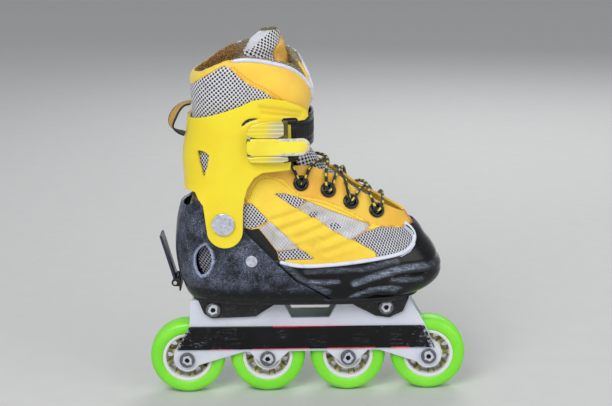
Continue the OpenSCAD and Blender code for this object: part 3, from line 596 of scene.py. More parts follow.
def close_seam(obj):
    """Joins the two sides where they meet in the middle plane."""
    with edited(obj.data) as work:
        seam = [v for v in work.verts if v.is_boundary and abs(v.co.y) < 0.5 * MM]
        bmesh.ops.remove_doubles(work, verts=seam, dist=0.3 * MM)


def flat_of(obj, last, depth):
    """Flat points of an object's vertices, measured on its own side of the last, and that side."""
    at = points_of(obj.data)
    return last.unroll(np.column_stack([at[:, 0], at[:, 2] - SOLE]), depth), np.sign(at[:, 1])


def bevel(obj, width, segments, corner, **settings):
    """Rounds the edges that turn by more than a corner in degrees."""
    modifier(obj, "BEVEL", width=width, segments=segments, limit_method="ANGLE", angle_limit=math.radians(corner),
             **settings)


def thicken(obj, wall, rim=0, segments=2):
    """Gives a sheet its wall, inwards, and rounds its rims."""
    modifier(obj, "SOLIDIFY", thickness=wall, offset=-1)
    if rim:
        bevel(obj, rim, segments, 50)


print("piece helpers ready")

# %% [markdown]
# ## Lace
# The lace is one cord that zigzags through eight eyelets, so it comes first, along the route that its solid takes.
# A curve with a round bevel would do, but a tube of quads carries a length along it, and the woven dashes need that.

# %% Tubes along a path
def frames_along(path):
    """Directions of a path and two axes across it, carried along without twist."""
    ahead = unit(np.gradient(path, axis=0))
    up = np.zeros_like(path)
    last = np.array([0.1, 0.2, 1.0])
    for i, a in enumerate(ahead):
        last = last - (last @ a) * a
        last /= np.linalg.norm(last)
        up[i] = last
    return ahead, up, np.cross(ahead, up)


def band_faces(rows, size, closed=False):
    """Quads between rings of points that follow each other; a closed row of rings meets its start."""
    starts = [(i * size, (i + 1) % rows * size) for i in range(rows if closed else rows - 1)]
    return [(a + k, a + (k + 1) % size, b + (k + 1) % size, b + k) for a, b in starts for k in range(size)]


def capped_faces(rows, size):
    """The same with a flat face at each end."""
    return band_faces(rows, size) + [tuple(range(size))[::-1], tuple(range((rows - 1) * size, rows * size))]


def tube(path, radius, sides=12):
    """Points, faces and flat places of a round tube; radius may be one value per point of the path."""
    _, up, out = frames_along(path)
    turn = np.linspace(0, 2 * np.pi, sides, endpoint=False)
    radius = np.broadcast_to(radius, len(path))[:, None, None]
    ring = np.cos(turn)[:, None] * up[:, None, :] + np.sin(turn)[:, None] * out[:, None, :]
    verts = (path[:, None, :] + radius * ring).reshape(-1, 3)
    uv = np.column_stack([np.repeat(run_of(path), sides), np.tile(turn, len(path))])
    return verts, capped_faces(len(path), sides), uv


DASHES_PER_M, STRANDS_PER_M = 118, 5200


def lace_finish():
    """Black braid with a yellow dash every few millimetres."""
    f = Finish("laced braid")
    along, around = f.axis("X", f.flat()), f.axis("Y", f.flat())
    beat = f.math("FRACT", along * DASHES_PER_M)
    lean = f.math("FRACT", beat + around * 0.06)
    dash = f.step(lean, 0.60, 0.64) * f.step(f.sine(around * 2), 0.1, 0.2)
    strand = along * STRANDS_PER_M
    weave = f.most(f.sine(strand + around * 3), f.sine(strand - around * 3))
    black = f.blend(f.step(weave, -0.4, 0.9), (8, 8, 9), (38, 37, 38))
    colour = f.blend(dash, black, (238, 222, 60))
    return f.done(Base_Color=colour, Roughness=0.75, Normal=f.bump(weave, 0.0002), Sheen_Weight=0.2)


# %% Lace
LACE_WIDE = 3.2 * MM
LACE_ROUTE = mm([
    [-13, -33.5, 136.5], [-9, -35, 128], [-5, -36, 117], [-3.5, -33.5, 116.5], [-1, -36, 117], [6, -28, 133.5],
    [18.5, 0, 133], [19.5, 24, 126.5], [20, 32, 110], [21.5, 29, 109], [24.5, 31, 109.5], [28.5, 21.5, 122],
    [33, 0, 121.5], [38, -19.5, 116], [41, -31.5, 99.5], [42.5, -28.5, 97.5], [45, -30.5, 99], [50, -21.5, 106.5],
    [55, 0, 105.5], [61, 22, 101], [65.5, 29, 90], [66.5, 26, 88], [69.5, 28, 89.5], [72.5, 21, 95.5],
    [73, 0, 99.5]])
LACE_BACK = mm([[58, 0, 109.5], [36, 0, 126], [23.5, 0, 134.5]])


def lace_path():
    """The route from one end to the middle of the toe, and back mirrored, crossing above itself."""
    way = LACE_ROUTE.copy()
    home = way[-2::-1] * [1, -1, 1]
    for over in LACE_BACK:
        home[np.argmin(np.abs(home[:, 0] - over[0]) + 1000 * np.abs(home[:, 1]))] = over
    path = np.vstack([way, home]) + [0, 0, SOLE]
    return smooth_line(path, 3)


lace_line = lace_path()
verts, faces, uv = tube(lace_line, LACE_WIDE / 2)
lace = piece("laced_cord", verts, faces, lace_finish(), uv, **stands_for("lace", "lace_textile"))

# %% [markdown]
# ## Plastics and metal
# Most of the skate is moulded plastic that has been ridden: it is never one colour. A helper lays a fine grain, broad
# changes of tone, and short scratches that catch the light. Scratches could be drawn one by one, but a noise that is
# stretched along one direction and cut near its middle value gives thin broken lines at no cost.

# %% Moulded plastic and steel
def scratches(f, scale, stretch=(1, 14, 14), turn=(0, 0, 0), width=0.012):
    """Thin broken lines: the middle value of a stretched noise."""
    lines = f.noise(scale, 3, 0.6, f.mapped(f.place(), stretch, turn))
    near = abs(lines - 0.5)
    gaps = f.patches(0.52, 0.66, scale * 3.1, 2)
    return f.step(near, width, 0.0) * gaps


def plastic(name, colour, worn, rough=0.38, grain=900, scratch=0.5, coat=0.0, broad=0.35):
    """Moulded plastic with a fine grain, a change of tone and pale scratches."""
    f = Finish(name)
    tone = f.patches(0.35, 0.8, 22, 5, 0.6) * broad
    lines = scratches(f, 34, turn=(0.2, 0.3, 0.4)) * scratch
    fine = f.noise(grain, 2)
    return f.done(
        Base_Color=f.blend(f.most(tone, lines), colour, worn),
        Roughness=f.step(f.noise(60, 4), 0.2, 0.8, rough - 0.08, rough + 0.10),
        Normal=f.bump(fine + lines * -1.5, 0.00006),
        Coat_Weight=coat, Coat_Roughness=0.12, Specular_IOR_Level=0.38)


def metal(name, colour, dull):
    """Turned metal with faint rings of dirt and small pits."""
    f = Finish(name)
    dirt = f.patches(0.52, 0.75, 300, 5, 0.7) * 0.5
    return f.done(
        Base_Color=f.blend(dirt, colour, dull), Metallic=0.8,
        Roughness=f.step(f.noise(160, 3), 0.3, 0.7, 0.2, 0.42),
        Normal=f.bump(f.noise(1300, 3), 0.00004))


def bolt_finish():
    """Bright bolt head, painted shade in its socket and a ring where it sits; the mesh says how far the axis is."""
    f = Finish("bolt head")
    off = f.measure("off_axis")
    # Painted shade: dark in the hex socket near the axis, and in the ring where the head sits.
    ring = f.most(f.rise(off, 2.9, 2.5), f.rise(off, 5.5, 6.1) * 0.8)
    dirt = f.patches(0.52, 0.75, 260, 4, 0.7) * 0.35
    colour = f.blend(f.most(ring, dirt), (216, 220, 232), (20, 20, 24))
    return f.done(Base_Color=colour, Metallic=0.5, Roughness=0.34, Normal=f.bump(f.noise(1300, 3), 0.00004))


STEEL, BOLT = metal("bolt steel", (214, 217, 224), (96, 96, 98)), bolt_finish()
DARK_STEEL = metal("bearing steel", (150, 154, 160), (60, 60, 62))
WHITE_PLASTIC = plastic("frame white", (224, 228, 240), (176, 180, 194), 0.42, broad=0.4, scratch=0.35)
BLACK_PLASTIC = plastic("moulded black", (12, 12, 15), (62, 64, 74), 0.42, scratch=0.5)
PALE_PLASTIC = plastic("pale plastic", (205, 204, 198), (150, 148, 140), 0.4)
BLUE_PLASTIC = plastic("lever blue black", (30, 36, 52), (118, 128, 150), 0.3, scratch=0.8)
print("plastics and steel ready")


# %% A softened copy of a solid
SHARP = 30


def fair(name, node, material, rim, slot, segments=2):
    """A merged copy of a solid of the frame, with its edges rounded, standing for it."""
    mesh = frame["nodes"][node].data.copy()
    mesh.name = name
    with edited(mesh) as work:
        bmesh.ops.remove_doubles(work, verts=work.verts, dist=0.01 * MM)
        bmesh.ops.dissolve_limit(work, angle_limit=math.radians(0.5), verts=work.verts, edges=work.edges)
    mesh.materials.clear()
    mesh.materials.append(material)
    mesh.shade_smooth()
    mesh.set_sharp_from_angle(angle=math.radians(SHARP))
    obj = placed(name, mesh)
    bevel(obj, rim, segments, SHARP, use_clamp_overlap=False)
    return mount(obj, **stands_for(node, slot))


def lathe(profile, count=64, at=(0, 0, 0)):
    """Points and faces of a closed profile of radius and width, turned round the Y axis."""
    turn = np.linspace(0, 2 * np.pi, count, endpoint=False)
    r, w = np.array(profile, float).T
    x = np.cos(turn)[:, None] * r
    z = np.sin(turn)[:, None] * r
    verts = np.stack([x, np.broadcast_to(w, x.shape), z], -1).reshape(-1, 3) + np.array(at)
    return verts, band_faces(count, len(profile), closed=True)


def outward(obj):
    """Turns every face outwards."""
    with edited(obj.data) as work:
        bmesh.ops.recalc_face_normals(work, faces=work.faces)
    return obj


def as_one(name, parts, body, replaces=(), slot=None):
    """Several objects' meshes as one piece."""
    whole = parts[0]
    with edited(whole.data) as work:
        for other in parts[1:]:
            work.from_mesh(other.data)
            bpy.data.objects.remove(other)
    whole.name = name
    return mount(outward(whole), body, replaces, slot)


def centre(node):
    """Middle of a solid's box."""
    return [(low + high) / 2 for low, high in zip(*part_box(node))]


def half(node):
    """Half the size of a solid's box."""
    return [(high - low) / 2 for low, high in zip(*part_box(node))]


print("softened copies and turned pieces ready")

# %% [markdown]
# ## Geometry Nodes for what repeats
# Spokes, stitches and the tufts of a fleece are the same small shape many times over. Copies could be made in a loop,
# but a node tree with named sizes is easier to change: one tree sets a shape round an axle, one along a line and one
# all over a surface.

# %% Node trees
class Growth(Wiring):
    """A geometry tree with a mesh in, a mesh out, named sizes and a finish."""

    def __init__(self, name, sizes):
        self.tree = bpy.data.node_groups.new(name, "GeometryNodeTree")
        for label, kind, value in (("Shape", "Geometry", None), *sizes, ("Finish", "Material", None)):
            socket = self.tree.interface.new_socket(label, in_out="INPUT", socket_type="NodeSocket" + kind)
            if value is not None:
                socket.default_value = value
        self.tree.interface.new_socket("Shape", in_out="OUTPUT", socket_type="NodeSocketGeometry")
        self.given = self.tree.nodes.new("NodeGroupInput").outputs

    def size(self, label):
        return Signal(self, self.given[label])

    def done(self, instances):
        """Every tree ends in real geometry with its finish."""
        real = self.node("GeometryNodeRealizeInstances", {"Geometry": instances})
        dressed = self.node("GeometryNodeSetMaterial", {"Geometry": real, "Material": self.size("Finish")})
        put(self.tree, self.tree.nodes.new("NodeGroupOutput").inputs[0], dressed)
        return self.tree


def around_tree():
    """Sets its shape round the Y axis, an even share of a turn apart."""
    g = Growth("round an axle", [("Count", "Int", 8)])
    points = g.node("GeometryNodePoints", {"Count": g.size("Count")})
    share = g.math("DIVIDE", 2 * math.pi, g.size("Count"))
    turn = g.node("ShaderNodeCombineXYZ", {"Y": g.node("GeometryNodeInputIndex", {}) * share})
    return g.done(g.node("GeometryNodeInstanceOnPoints", {
        "Points": points, "Instance": g.size("Shape"), "Rotation": turn}))


def stitch_tree():
    """Sews a row of thread along every line of its shape."""
    g = Growth("row of stitches", [
        ("Pitch", "Float", 0.0026), ("Length", "Float", 0.0018), ("Thread", "Float", 0.0004)])
    line = g.node("GeometryNodeMeshToCurve", {"Mesh": g.size("Shape")})
    spaced = wired(g.tree, "GeometryNodeCurveToPoints", {
        "Curve": line, "Length": g.size("Pitch")}, mode="LENGTH").outputs
    thread = g.node("GeometryNodeMeshUVSphere", {"Segments": 6, "Rings": 5, "Radius": 0.5}, "Mesh")
    wide = g.size("Thread") * 2.0
    size = g.node("ShaderNodeCombineXYZ", {"X": wide, "Y": wide, "Z": g.size("Length")})
    return g.done(g.node("GeometryNodeInstanceOnPoints", {
        "Points": spaced["Points"], "Instance": thread, "Rotation": spaced["Rotation"], "Scale": size}))


def fleece_tree():
    """Scatters short tufts over its shape, each leaning its own way."""
    g = Growth("fleece", [("Density", "Float", 4e5), ("Length", "Float", 0.002)])
    spots = wired(g.tree, "GeometryNodeDistributePointsOnFaces", {
        "Mesh": g.size("Shape"), "Density": g.size("Density"), "Seed": 7}).outputs
    tuft = g.node("GeometryNodeMeshCone", {"Vertices": 4, "Radius Bottom": 0.16, "Depth": 1.0}, "Mesh")
    set_out = g.node("GeometryNodeInstanceOnPoints", {
        "Points": spots["Points"], "Instance": tuft, "Rotation": spots["Rotation"], "Scale": g.size("Length")})
    lean = g.node("FunctionNodeRandomValue", {0: (-0.9, -0.9, 0), 1: (0.9, 0.9, 6.2), "Seed": 3},
                  data_type="FLOAT_VECTOR")
    return g.done(g.node("GeometryNodeRotateInstances", {"Instances": set_out, "Rotation": lean}))


AROUND, STITCHES, FLEECE = around_tree(), stitch_tree(), fleece_tree()


def baked(obj):
    """A plain mesh of an object as its modifiers leave it."""
    return bpy.data.meshes.new_from_object(obj.evaluated_get(bpy.context.evaluated_depsgraph_get()))


def settled(obj):
    """Gives an object the mesh that its modifiers make, and takes the modifiers away."""
    mesh = baked(obj)
    obj.modifiers.clear()
    obj.data = mesh
    return mesh


def grown(name, verts, edges, faces, tree, sizes, at=(0, 0, 0)):
    """Runs a tree on a small mesh and keeps the result as a plain mesh."""
    seed = bpy.data.meshes.new(name + "_seed")
    seed.from_pydata([tuple(v) for v in verts], edges, [tuple(f) for f in faces])
    obj = placed(name, seed)
    made = obj.modifiers.new("nodes", "NODES")
    made.node_group = tree
    for item in tree.interface.items_tree:
        if item.item_type == "SOCKET" and item.in_out == "INPUT" and item.name in sizes:
            made[item.identifier] = sizes[item.name]
    mesh = settled(obj)
    mesh.name = name
    mesh.transform(Matrix.Translation(at))
    mesh.shade_smooth()
    bpy.data.meshes.remove(seed)
    return obj


print("trees:", AROUND.name, STITCHES.name, FLEECE.name)

# %% [markdown]
# ## Wheels
# A skate wheel is a cast urethane tyre on a stiff spoked core. The tyre is a turned profile with flat sides and a
# round crown. The core is two turned rings with ribs between them, and the ribs repeat round the axle, so Geometry
# Nodes set them.

# %% Wheel finishes
def tyre_finish():
    """Green urethane, lit through at the crown, dusty where it meets the road."""
    f = Finish("green urethane")
    dust = f.patches(0.48, 0.78, 90, 6, 0.65) * 0.3
    tone = f.patches(0.3, 0.7, 30, 3)
    green = f.blend(tone, (124, 232, 44), (142, 243, 62))
    return f.done(
        Base_Color=f.blend(dust, green, (150, 196, 92)),
        Roughness=f.step(f.noise(140, 4), 0.3, 0.7, 0.28, 0.46),
        Subsurface_Weight=0.15, Subsurface_Radius=(0.003, 0.006, 0.001), Subsurface_Scale=1.0,
        Normal=f.bump(f.noise(700, 3), 0.00005))


def core_finish():
    """White core, green as a painted reflection of its tyre, with yellow patches and painted shade deep inside."""
    f = Finish("wheel core white")
    yellow = f.patches(0.42, 0.7, 170, 4, 0.6) * 0.6
    pale = f.blend(yellow, (236, 242, 222), (214, 218, 130))
    # Painted shade: the core darkens to olive more than about 3 mm in from its faces.
    deep = f.step(abs(f.axis("Y")), TYRE_HALF - 3.2 * MM, TYRE_HALF - 6.5 * MM)
    return f.done(Base_Color=f.blend(deep, pale, (112, 106, 24)), Roughness=0.36,
                  Normal=f.bump(f.noise(900, 2), 0.00005))


TYRE_R, TYRE_HALF, _ = half("tyre_1")
TYRE_GREEN, CORE_WHITE = tyre_finish(), core_finish()
print("wheel finishes ready")

# %% Tyres, cores and ribs
WHEELS = 4
RIBS = 9
CORE_R = half("hub_1")[0]
SEAT_R = half("bearing_outer_rings_1")[0]
EDGE = 0.5 * MM


def tyre_profile():
    """Half profile from the core to the crown, mirrored."""
    half = [(CORE_R - 0.6 * MM, TYRE_HALF - 2.2 * MM), (CORE_R - 0.1 * MM, TYRE_HALF - 0.9 * MM),
            (CORE_R + 1.0 * MM, TYRE_HALF - 0.4 * MM), (CORE_R + 3.5 * MM, TYRE_HALF)]
    shoulder = CORE_R + 4.5 * MM
    for k in range(9):
        a = math.pi / 2 * k / 8
        half.append((shoulder + (TYRE_R - shoulder) * math.sin(a) ** 0.8, TYRE_HALF * math.cos(a) ** 0.62))
    half = [p for p in half if p[1] > 0.2 * MM] + [(TYRE_R, 0.2 * MM)]
    return half + [(r, -w) for r, w in half[::-1]]


def ring_profile(inner, outer, half, edge):
    """Rectangular ring with its four edges cut."""
    corner = [(inner, half - edge), (inner + edge, half), (outer - edge, half), (outer, half - edge)]
    return corner + [(r, -w) for r, w in corner[::-1]]


def rib_shape(inner, outer):
    """One rib: waisted in the middle and bowed in from both faces."""
    rows = []
    for k in range(7):
        t = k / 6
        r = inner + (outer - inner) * t
        half_wide = (2.3 + 1.5 * (2 * t - 1) ** 2) * MM
        half_deep = (6.0 + 2.6 * (2 * t - 1) ** 2) * MM
        soft = 0.35 * half_wide
        rows.append([(r, s * (half_deep - (soft if c else 0)), w) for s, c, w in [
            (1, 1, half_wide), (1, 0, half_wide - soft), (1, 0, soft - half_wide), (1, 1, -half_wide),
            (-1, 1, -half_wide), (-1, 0, soft - half_wide), (-1, 0, half_wide - soft), (-1, 1, half_wide)]])
    return [p for row in rows for p in row], band_faces(len(rows), len(rows[0]))


rim_ring = ring_profile(CORE_R - 3.2 * MM, CORE_R, TYRE_HALF - 0.8 * MM, EDGE)
seat_ring = ring_profile(SEAT_R, SEAT_R + 2.4 * MM, TYRE_HALF, EDGE)
for wheel in range(1, WHEELS + 1):
    tyre, hub = f"tyre_{wheel}", f"hub_{wheel}"
    x, _, z = centre(tyre)
    axle = Vector((x, 0, z))
    outward(piece(tyre + "_cast", *lathe(tyre_profile(), 96, axle), TYRE_GREEN, **stands_for(tyre, "green_urethane")))
    verts, faces = rib_shape(SEAT_R + 1.4 * MM, CORE_R - 2.2 * MM)
    ribs = grown(f"core_{wheel}", verts, [], faces, AROUND, {"Count": RIBS, "Finish": CORE_WHITE}, axle)
    rim = piece("rim", *lathe(rim_ring, 96, axle), CORE_WHITE)
    seat = piece("seat", *lathe(seat_ring, 64, axle), CORE_WHITE)
    core = as_one(ribs.name, [ribs, rim, seat], tyre, [hub], "white_plastic")
    core.data.set_sharp_from_angle(angle=math.radians(50))
print(WHEELS, "wheels with", RIBS, "ribs each")

# %% [markdown]
# ## Frame, side panels and sole
# The frame is one white moulding that carries the wheels. Its solid has the right shape, so a copy gets soft edges.
# The black panels are glossy stickers on it: scratched, rubbed white at their slanted ends, with a red line along the
# edges that has worn away in places. The worn spans are given along the skate and cut in the shader, which keeps the
# line sharp without a finer mesh.

# %% Frame and sole plate
def sole_finish():
    """Black lugs, dusty and rubbed on the edges that meet the road."""
    f = Finish("sole black")
    rub = f.patches(0.5, 0.72, 240, 6, 0.7) * f.patches(0.4, 0.7, 38, 3)
    colour = f.blend(rub, (13, 13, 16), (74, 78, 96))
    return f.done(Base_Color=f.blend(scratches(f, 60), colour, (120, 122, 132)), Roughness=0.46,
                  Normal=f.bump(f.noise(800, 3), 0.00006))


fair("rail", "frame", WHITE_PLASTIC, 0.7 * MM, "white_plastic")
fair("lugs", "sole_plate", sole_finish(), 0.7 * MM, "black_plastic")
print("frame and sole plate softened")

# %% Side panels
RED_TOP = mm([[-31, 51], [55, 98]])
RED_FOOT = mm([[-92, -70], [-52, 3], [20, 66], [81, 99]])


def panel_finish(low, high):
    """Glossy black with a broken red line along its long edges and white where its ends are rubbed."""
    f = Finish("side panel gloss")
    x, z = f.axis("X"), f.axis("Z")
    along = x + f.noise(260, 4) * (4 * MM)
    soft = 0.8 * MM
    red = 0.0
    for spans, edge in ((RED_TOP, high.z), (RED_FOOT, low.z)):
        here = f.rise(abs(z - edge), 1.5, 1.15)
        for a, b in spans:
            red = f.most(red, here * (f.step(along, a, a + soft) * f.step(along, b + soft, b)))
    slant = (high.z - z) * 0.52
    rear = x - (low.x + 12.5 * MM - slant)
    front = high.x - 12 * MM + slant * 0.75 - x
    end = f.math("MINIMUM", abs(rear), abs(front))
    rub = f.rise(end, 2.6, 0.6) * f.patches(0.46, 0.56, 330, 6, 0.7)
    near_end = f.rise(end, 46, 8)
    lines = scratches(f, 44, (1, 9, 9), (0, 0.9, 0), 0.014) * near_end
    deep = scratches(f, 20, (1, 22, 22), (0, -0.35, 0), 0.01) * f.step(near_end, 0.0, 1.0, 0.25, 1.0)
    chips = f.patches(0.66, 0.7, 520, 4, 0.7) * f.patches(0.52, 0.62, 26, 2)
    wear = f.most(f.most(rub, chips), f.most(lines, deep) * 0.7)
    black = f.blend(f.patches(0.4, 0.8, 46, 4), (4, 4, 6), (16, 17, 24))
    colour = f.blend(wear * 0.75, f.blend(red, black, (232, 26, 60)), (206, 212, 226))
    return f.done(Base_Color=colour, Roughness=f.step(wear, 0.0, 1.0, 0.13, 0.5), Specular_IOR_Level=0.3,
                  Normal=f.bump(wear, 0.00012))


PANEL_GLOSS = panel_finish(*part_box("side_panel_outer"))
for face in ("outer", "inner"):
    fair(f"panel_{face}", f"side_panel_{face}", PANEL_GLOSS, 0.45 * MM, "black_gloss")
print("side panels with", len(RED_TOP) + len(RED_FOOT), "red spans each")

# %% [markdown]
# ## Rear shell
# The hard shell round the heel is black, but years of knocks have left it frosted with pale specks. It is cut from
# the last with its lens-shaped vents left open. A lip stands proud round each vent and a slot runs on from it: both
# come from the distance to a drawn line, which also tells the finish where the lip is pale. Towards the sole the
# specks fade out: painted shade that keeps the bottom of the shell dark.

# %% Rear shell finish
def frosted(name, clean, frost, amount):
    """Black plastic under fine pale specks and longer rubs, faded out where the mesh says: painted shade."""
    f = Finish(name)
    fine = f.noise(900, 4, 0.75)
    cloud = f.noise(52, 5, 0.62)
    long_rub = f.noise(60, 4, 0.7, f.mapped(f.place(), (3.2, 3.2, 1)))
    veil = f.step(cloud, 0.30, 0.72) * amount
    speck = f.step(fine, 0.38, 0.72)
    share = (veil + f.step(long_rub, 0.5, 0.72) * 0.35) * speck
    share = share + veil * 0.05
    # Painted shade: the specks fade out where this measure is low, near the sole.
    share = f.math("MULTIPLY", share, f.step(f.measure("worn"), 0.0, 1.0), True)
    rim = f.measure("lip") * f.step(fine, 0.2, 0.55)
    share = f.most(share, rim * 0.95, True)
    share = f.most(share, scratches(f, 50, (1, 1, 12), (0.3, 0.1, 0)) * 0.5)
    return f.done(Base_Color=f.blend(share, clean, frost), Roughness=f.step(share, 0.0, 1.0, 0.30, 0.62),
                  Specular_IOR_Level=0.35, Normal=f.bump(fine, 0.00008))


def smooth_step(value, low, high):
    """Eased from 0 at one value to 1 at another."""
    t = np.clip((value - low) / (high - low), 0, 1)
    return t * t * (3 - 2 * t)


def rise(value, low, high):
    """The same for a length, between two millimetre marks."""
    return smooth_step(value, low * MM, high * MM)


def bell(off, reach):
    """1 on a line, fading softly with the distance from it; the reach is in millimetres."""
    return np.exp(-(off / (reach * MM)) ** 2)


REAR_BLACK = frosted("frosted black", (8, 9, 15), (176, 190, 224), 0.62)
print("frosted black ready")

# %% Rear shell
REAR_WALL = 2.8 * MM
REAR_FRONT = mm([[24, 4], [14, 12], [-10, 26], [-27, 43], [-39, 56], [-56, 74]])
REAR_OUTLINE = np.vstack([
    mm([[-135, 4]]), REAR_FRONT, mm([[-58.5, 93], [-70, 101], [-100, 101], [-112, 95], [-135, 94]])])
VENT_AT, VENT_R, VENT_SHIFT, VENT_TURN = mm([-95.5, 45]), 20 * MM, 12 * MM, math.radians(-10)
VENT_SLOT = mm([[-96.2, 27.5], [-88.4, 21], [-80, 16.3]])


def lens(at, radius):
    """Outline where two circles overlap, turned about its middle."""
    reach = math.acos(VENT_SHIFT / radius)
    sweep = np.linspace(-reach, reach, 14)
    right = np.column_stack([radius * np.cos(sweep) - VENT_SHIFT, radius * np.sin(sweep)])
    loop = np.vstack([right[:-1], -right[:-1]])
    c, s = math.cos(VENT_TURN), math.sin(VENT_TURN)
    return loop @ np.array([[c, s], [-s, c]]) + at


vent = lens(VENT_AT, VENT_R)
vent_flat = BOOT.unroll(vent, 0)
slot_flat = BOOT.unroll(dense(VENT_SLOT, 2 * MM, False), 0)
front_flat = BOOT.unroll(dense(REAR_FRONT, 3 * MM, False), 0)


def rear_relief(flat, _):
    """A lip round the vent, a slot that runs on from it and a bead along the front edge."""
    off = np.maximum(-depth_in(flat, vent_flat), 0)
    lip = 1.1 * MM * (1 - rise(off, 1.6, 4.2))
    cut = -1.5 * MM * (1 - rise(distance(flat, slot_flat, False), 0.7, 1.5))
    bead = 0.5 * MM * (1 - rise(distance(flat, front_flat, False), 2, 4))
    return np.maximum(lip, bead) + cut - 0.2 * MM


rear = panel("rear_shell_moulded", BOOT, 0, REAR_OUTLINE, REAR_BLACK, [vent], 1.9 * MM, rear_relief,
             **stands_for("rear_shell", "black_plastic"))
flat, _ = flat_of(rear, BOOT, 0)
# The specks fade out below 11 to 24 mm: painted shade that keeps the bottom of the shell dark.
measure_on(rear, lip=1 - rise(np.abs(depth_in(flat, vent_flat)), 1.0, 2.6),
           worn=rise(flat[:, 1], 11, 24))
thicken(rear, REAR_WALL, 0.5 * MM)
print("rear shell", len(rear.data.vertices), "points")

# %% Bosses behind the cuff, and the net in the vents
MESH_PITCH = 2.5 * MM
BOSS_AT, BOSS_HOLE, BOSS_R, BOSS_HALF = mm([44.1, 9.1, 13, 2.1])


def net_finish(name, thread, hole):
    """Open net over a dark backing, drawn in flat cloth so that it keeps its scale."""
    f = Finish(name)
    colour, height = net_looks(f, thread, hole, MESH_PITCH, 0.6)
    return f.done(Base_Color=colour, Roughness=0.8, Normal=f.bump(height, 0.0005))


def net_looks(f, thread, hole, pitch, lean):
    """Colour and height of a net: holes where two slanted waves both rise, thread between them."""
    k = 2 * math.pi / pitch
    turned = f.mapped(f.flat(), (k, k, 1), (0, 0, lean))
    u, v = f.axis("X", turned), f.axis("Y", turned)
    waves = f.sine(u) + f.sine(v + u * 0.2)
    open_part = f.step(waves, -0.05, 0.5)
    dirt = f.patches(0.45, 0.8, 150, 4) * 0.35
    pale = f.blend(dirt, thread, (150, 148, 142))
    return f.blend(open_part, pale, hole), f.step(waves, -1.2, 0.6, 1.0, 0.0)


NET = net_finish("open net", (226, 226, 234), (10, 10, 14))
# A darker copy of the net: painted shade for the net set deep in the vent.
DARK_NET = net_finish("net in shade", (150, 150, 160), (6, 6, 8))
x, _, z = centre("cuff_bushes")
boss_ring = ring_profile(BOSS_HOLE, BOSS_R, BOSS_HALF, 0.4 * MM)
bosses = [piece("boss", *lathe(boss_ring, 48, Vector((x, side * BOSS_AT, z))), BLACK_PLASTIC) for side in SIDES]
as_one("pivot_bosses", bosses, "boot", slot="black_plastic")
panel("vent_net", BOOT, 7.2 * MM, lens(VENT_AT + mm([4, 1]), VENT_R + 1 * MM), DARK_NET, body="boot",
      slot="mesh_textile")
# A black sheet behind the vent net: painted shade inside the vent.
panel("vent_shade", BOOT, 8.6 * MM, lens(VENT_AT, VENT_R + 8 * MM), BLACK_PLASTIC, step=4 * MM, body="boot",
      slot="black_plastic")
print("bosses and vent nets in place")

# %% [markdown]
# ## Toe shell
# The front shell slides in the rear one. It is glossy black and sculpted: a flat band under the white piping, a long
# hollow below it, a ridge that sweeps up to the nose with two slits, and a grooved pad above the front lug. Each
# feature is one drawn line or loop, and its height is eased in by the distance from it. Thin wings reach back inside
# the rear shell, so that no hole opens when the toe slides out.

# %% Toe shell
TOE_WALL = 3.4 * MM
RIM_LINE = mm([[-24, 43], [-5, 38], [32, 40], [69, 44], [88, 46.6], [96.5, 50], [101.5, 55], [102.6, 60.5],
               [99.5, 66.5], [93, 72]])
TOE_OUTLINE = np.vstack([RIM_LINE, mm([[150, 72], [150, 5]]), REAR_FRONT[:4] + mm([1.6, 0.4])])
BAND_LINE = mm([[-24, 36.5], [-5, 32.5], [12.6, 31.5], [45.9, 33.7], [72.9, 38.2], [96.5, 40.7], [150, 42]])
HOLLOW = mm([[-3.2, 27.5], [12.5, 29.4], [31, 27.6], [35, 25.4], [17.1, 23.0], [3.2, 24.6]])
RIDGE = mm([[44.9, 22], [63.5, 28.4], [86.9, 34.5], [106, 34.5], [150, 33]])
SLIT_A = mm([[77.5, 30.5], [92, 29.6], [110.7, 29]])
SLIT_B = mm([[80, 27.4], [94, 26.6], [108, 26]])
PAD = mm([[42.1, 12.5], [60.6, 18.5], [75.6, 20.3], [85.5, 17.5], [88.5, 6], [60, 6]])


def toe_flat(points, closed=False):
    return BOOT.unroll(dense(points, 3 * MM, closed), 0)


def toe_relief(flat, _):
    """Band, hollow, ridge, slits and the groove round the pad."""
    band = toe_flat(BAND_LINE)
    above = flat[:, 1] - np.interp(flat[:, 0], band[::-1, 0], band[::-1, 1])
    out = -0.9 * MM * rise(-above, 0, 1.2)
    out += -1.6 * MM * rise(depth_in(flat, toe_flat(rounded(HOLLOW), True)), -0.6, 2.2)
    ridge = distance(flat, toe_flat(smooth_line(RIDGE)), False)
    out += 1.3 * MM * (1 - rise(ridge, 0.8, 4.5))
    for slit in (SLIT_A, SLIT_B):
        off = distance(flat, toe_flat(smooth_line(slit)), False)
        out += -1.7 * MM * (1 - rise(off, 0.5, 1.3))
    into_pad = depth_in(flat, toe_flat(rounded(PAD), True))
    out += -1.9 * MM * (1 - rise(np.abs(into_pad), 0.5, 1.9))
    out += -0.9 * MM * rise(into_pad, 7, 0) * (into_pad > 0)
    return out - 0.1 * MM


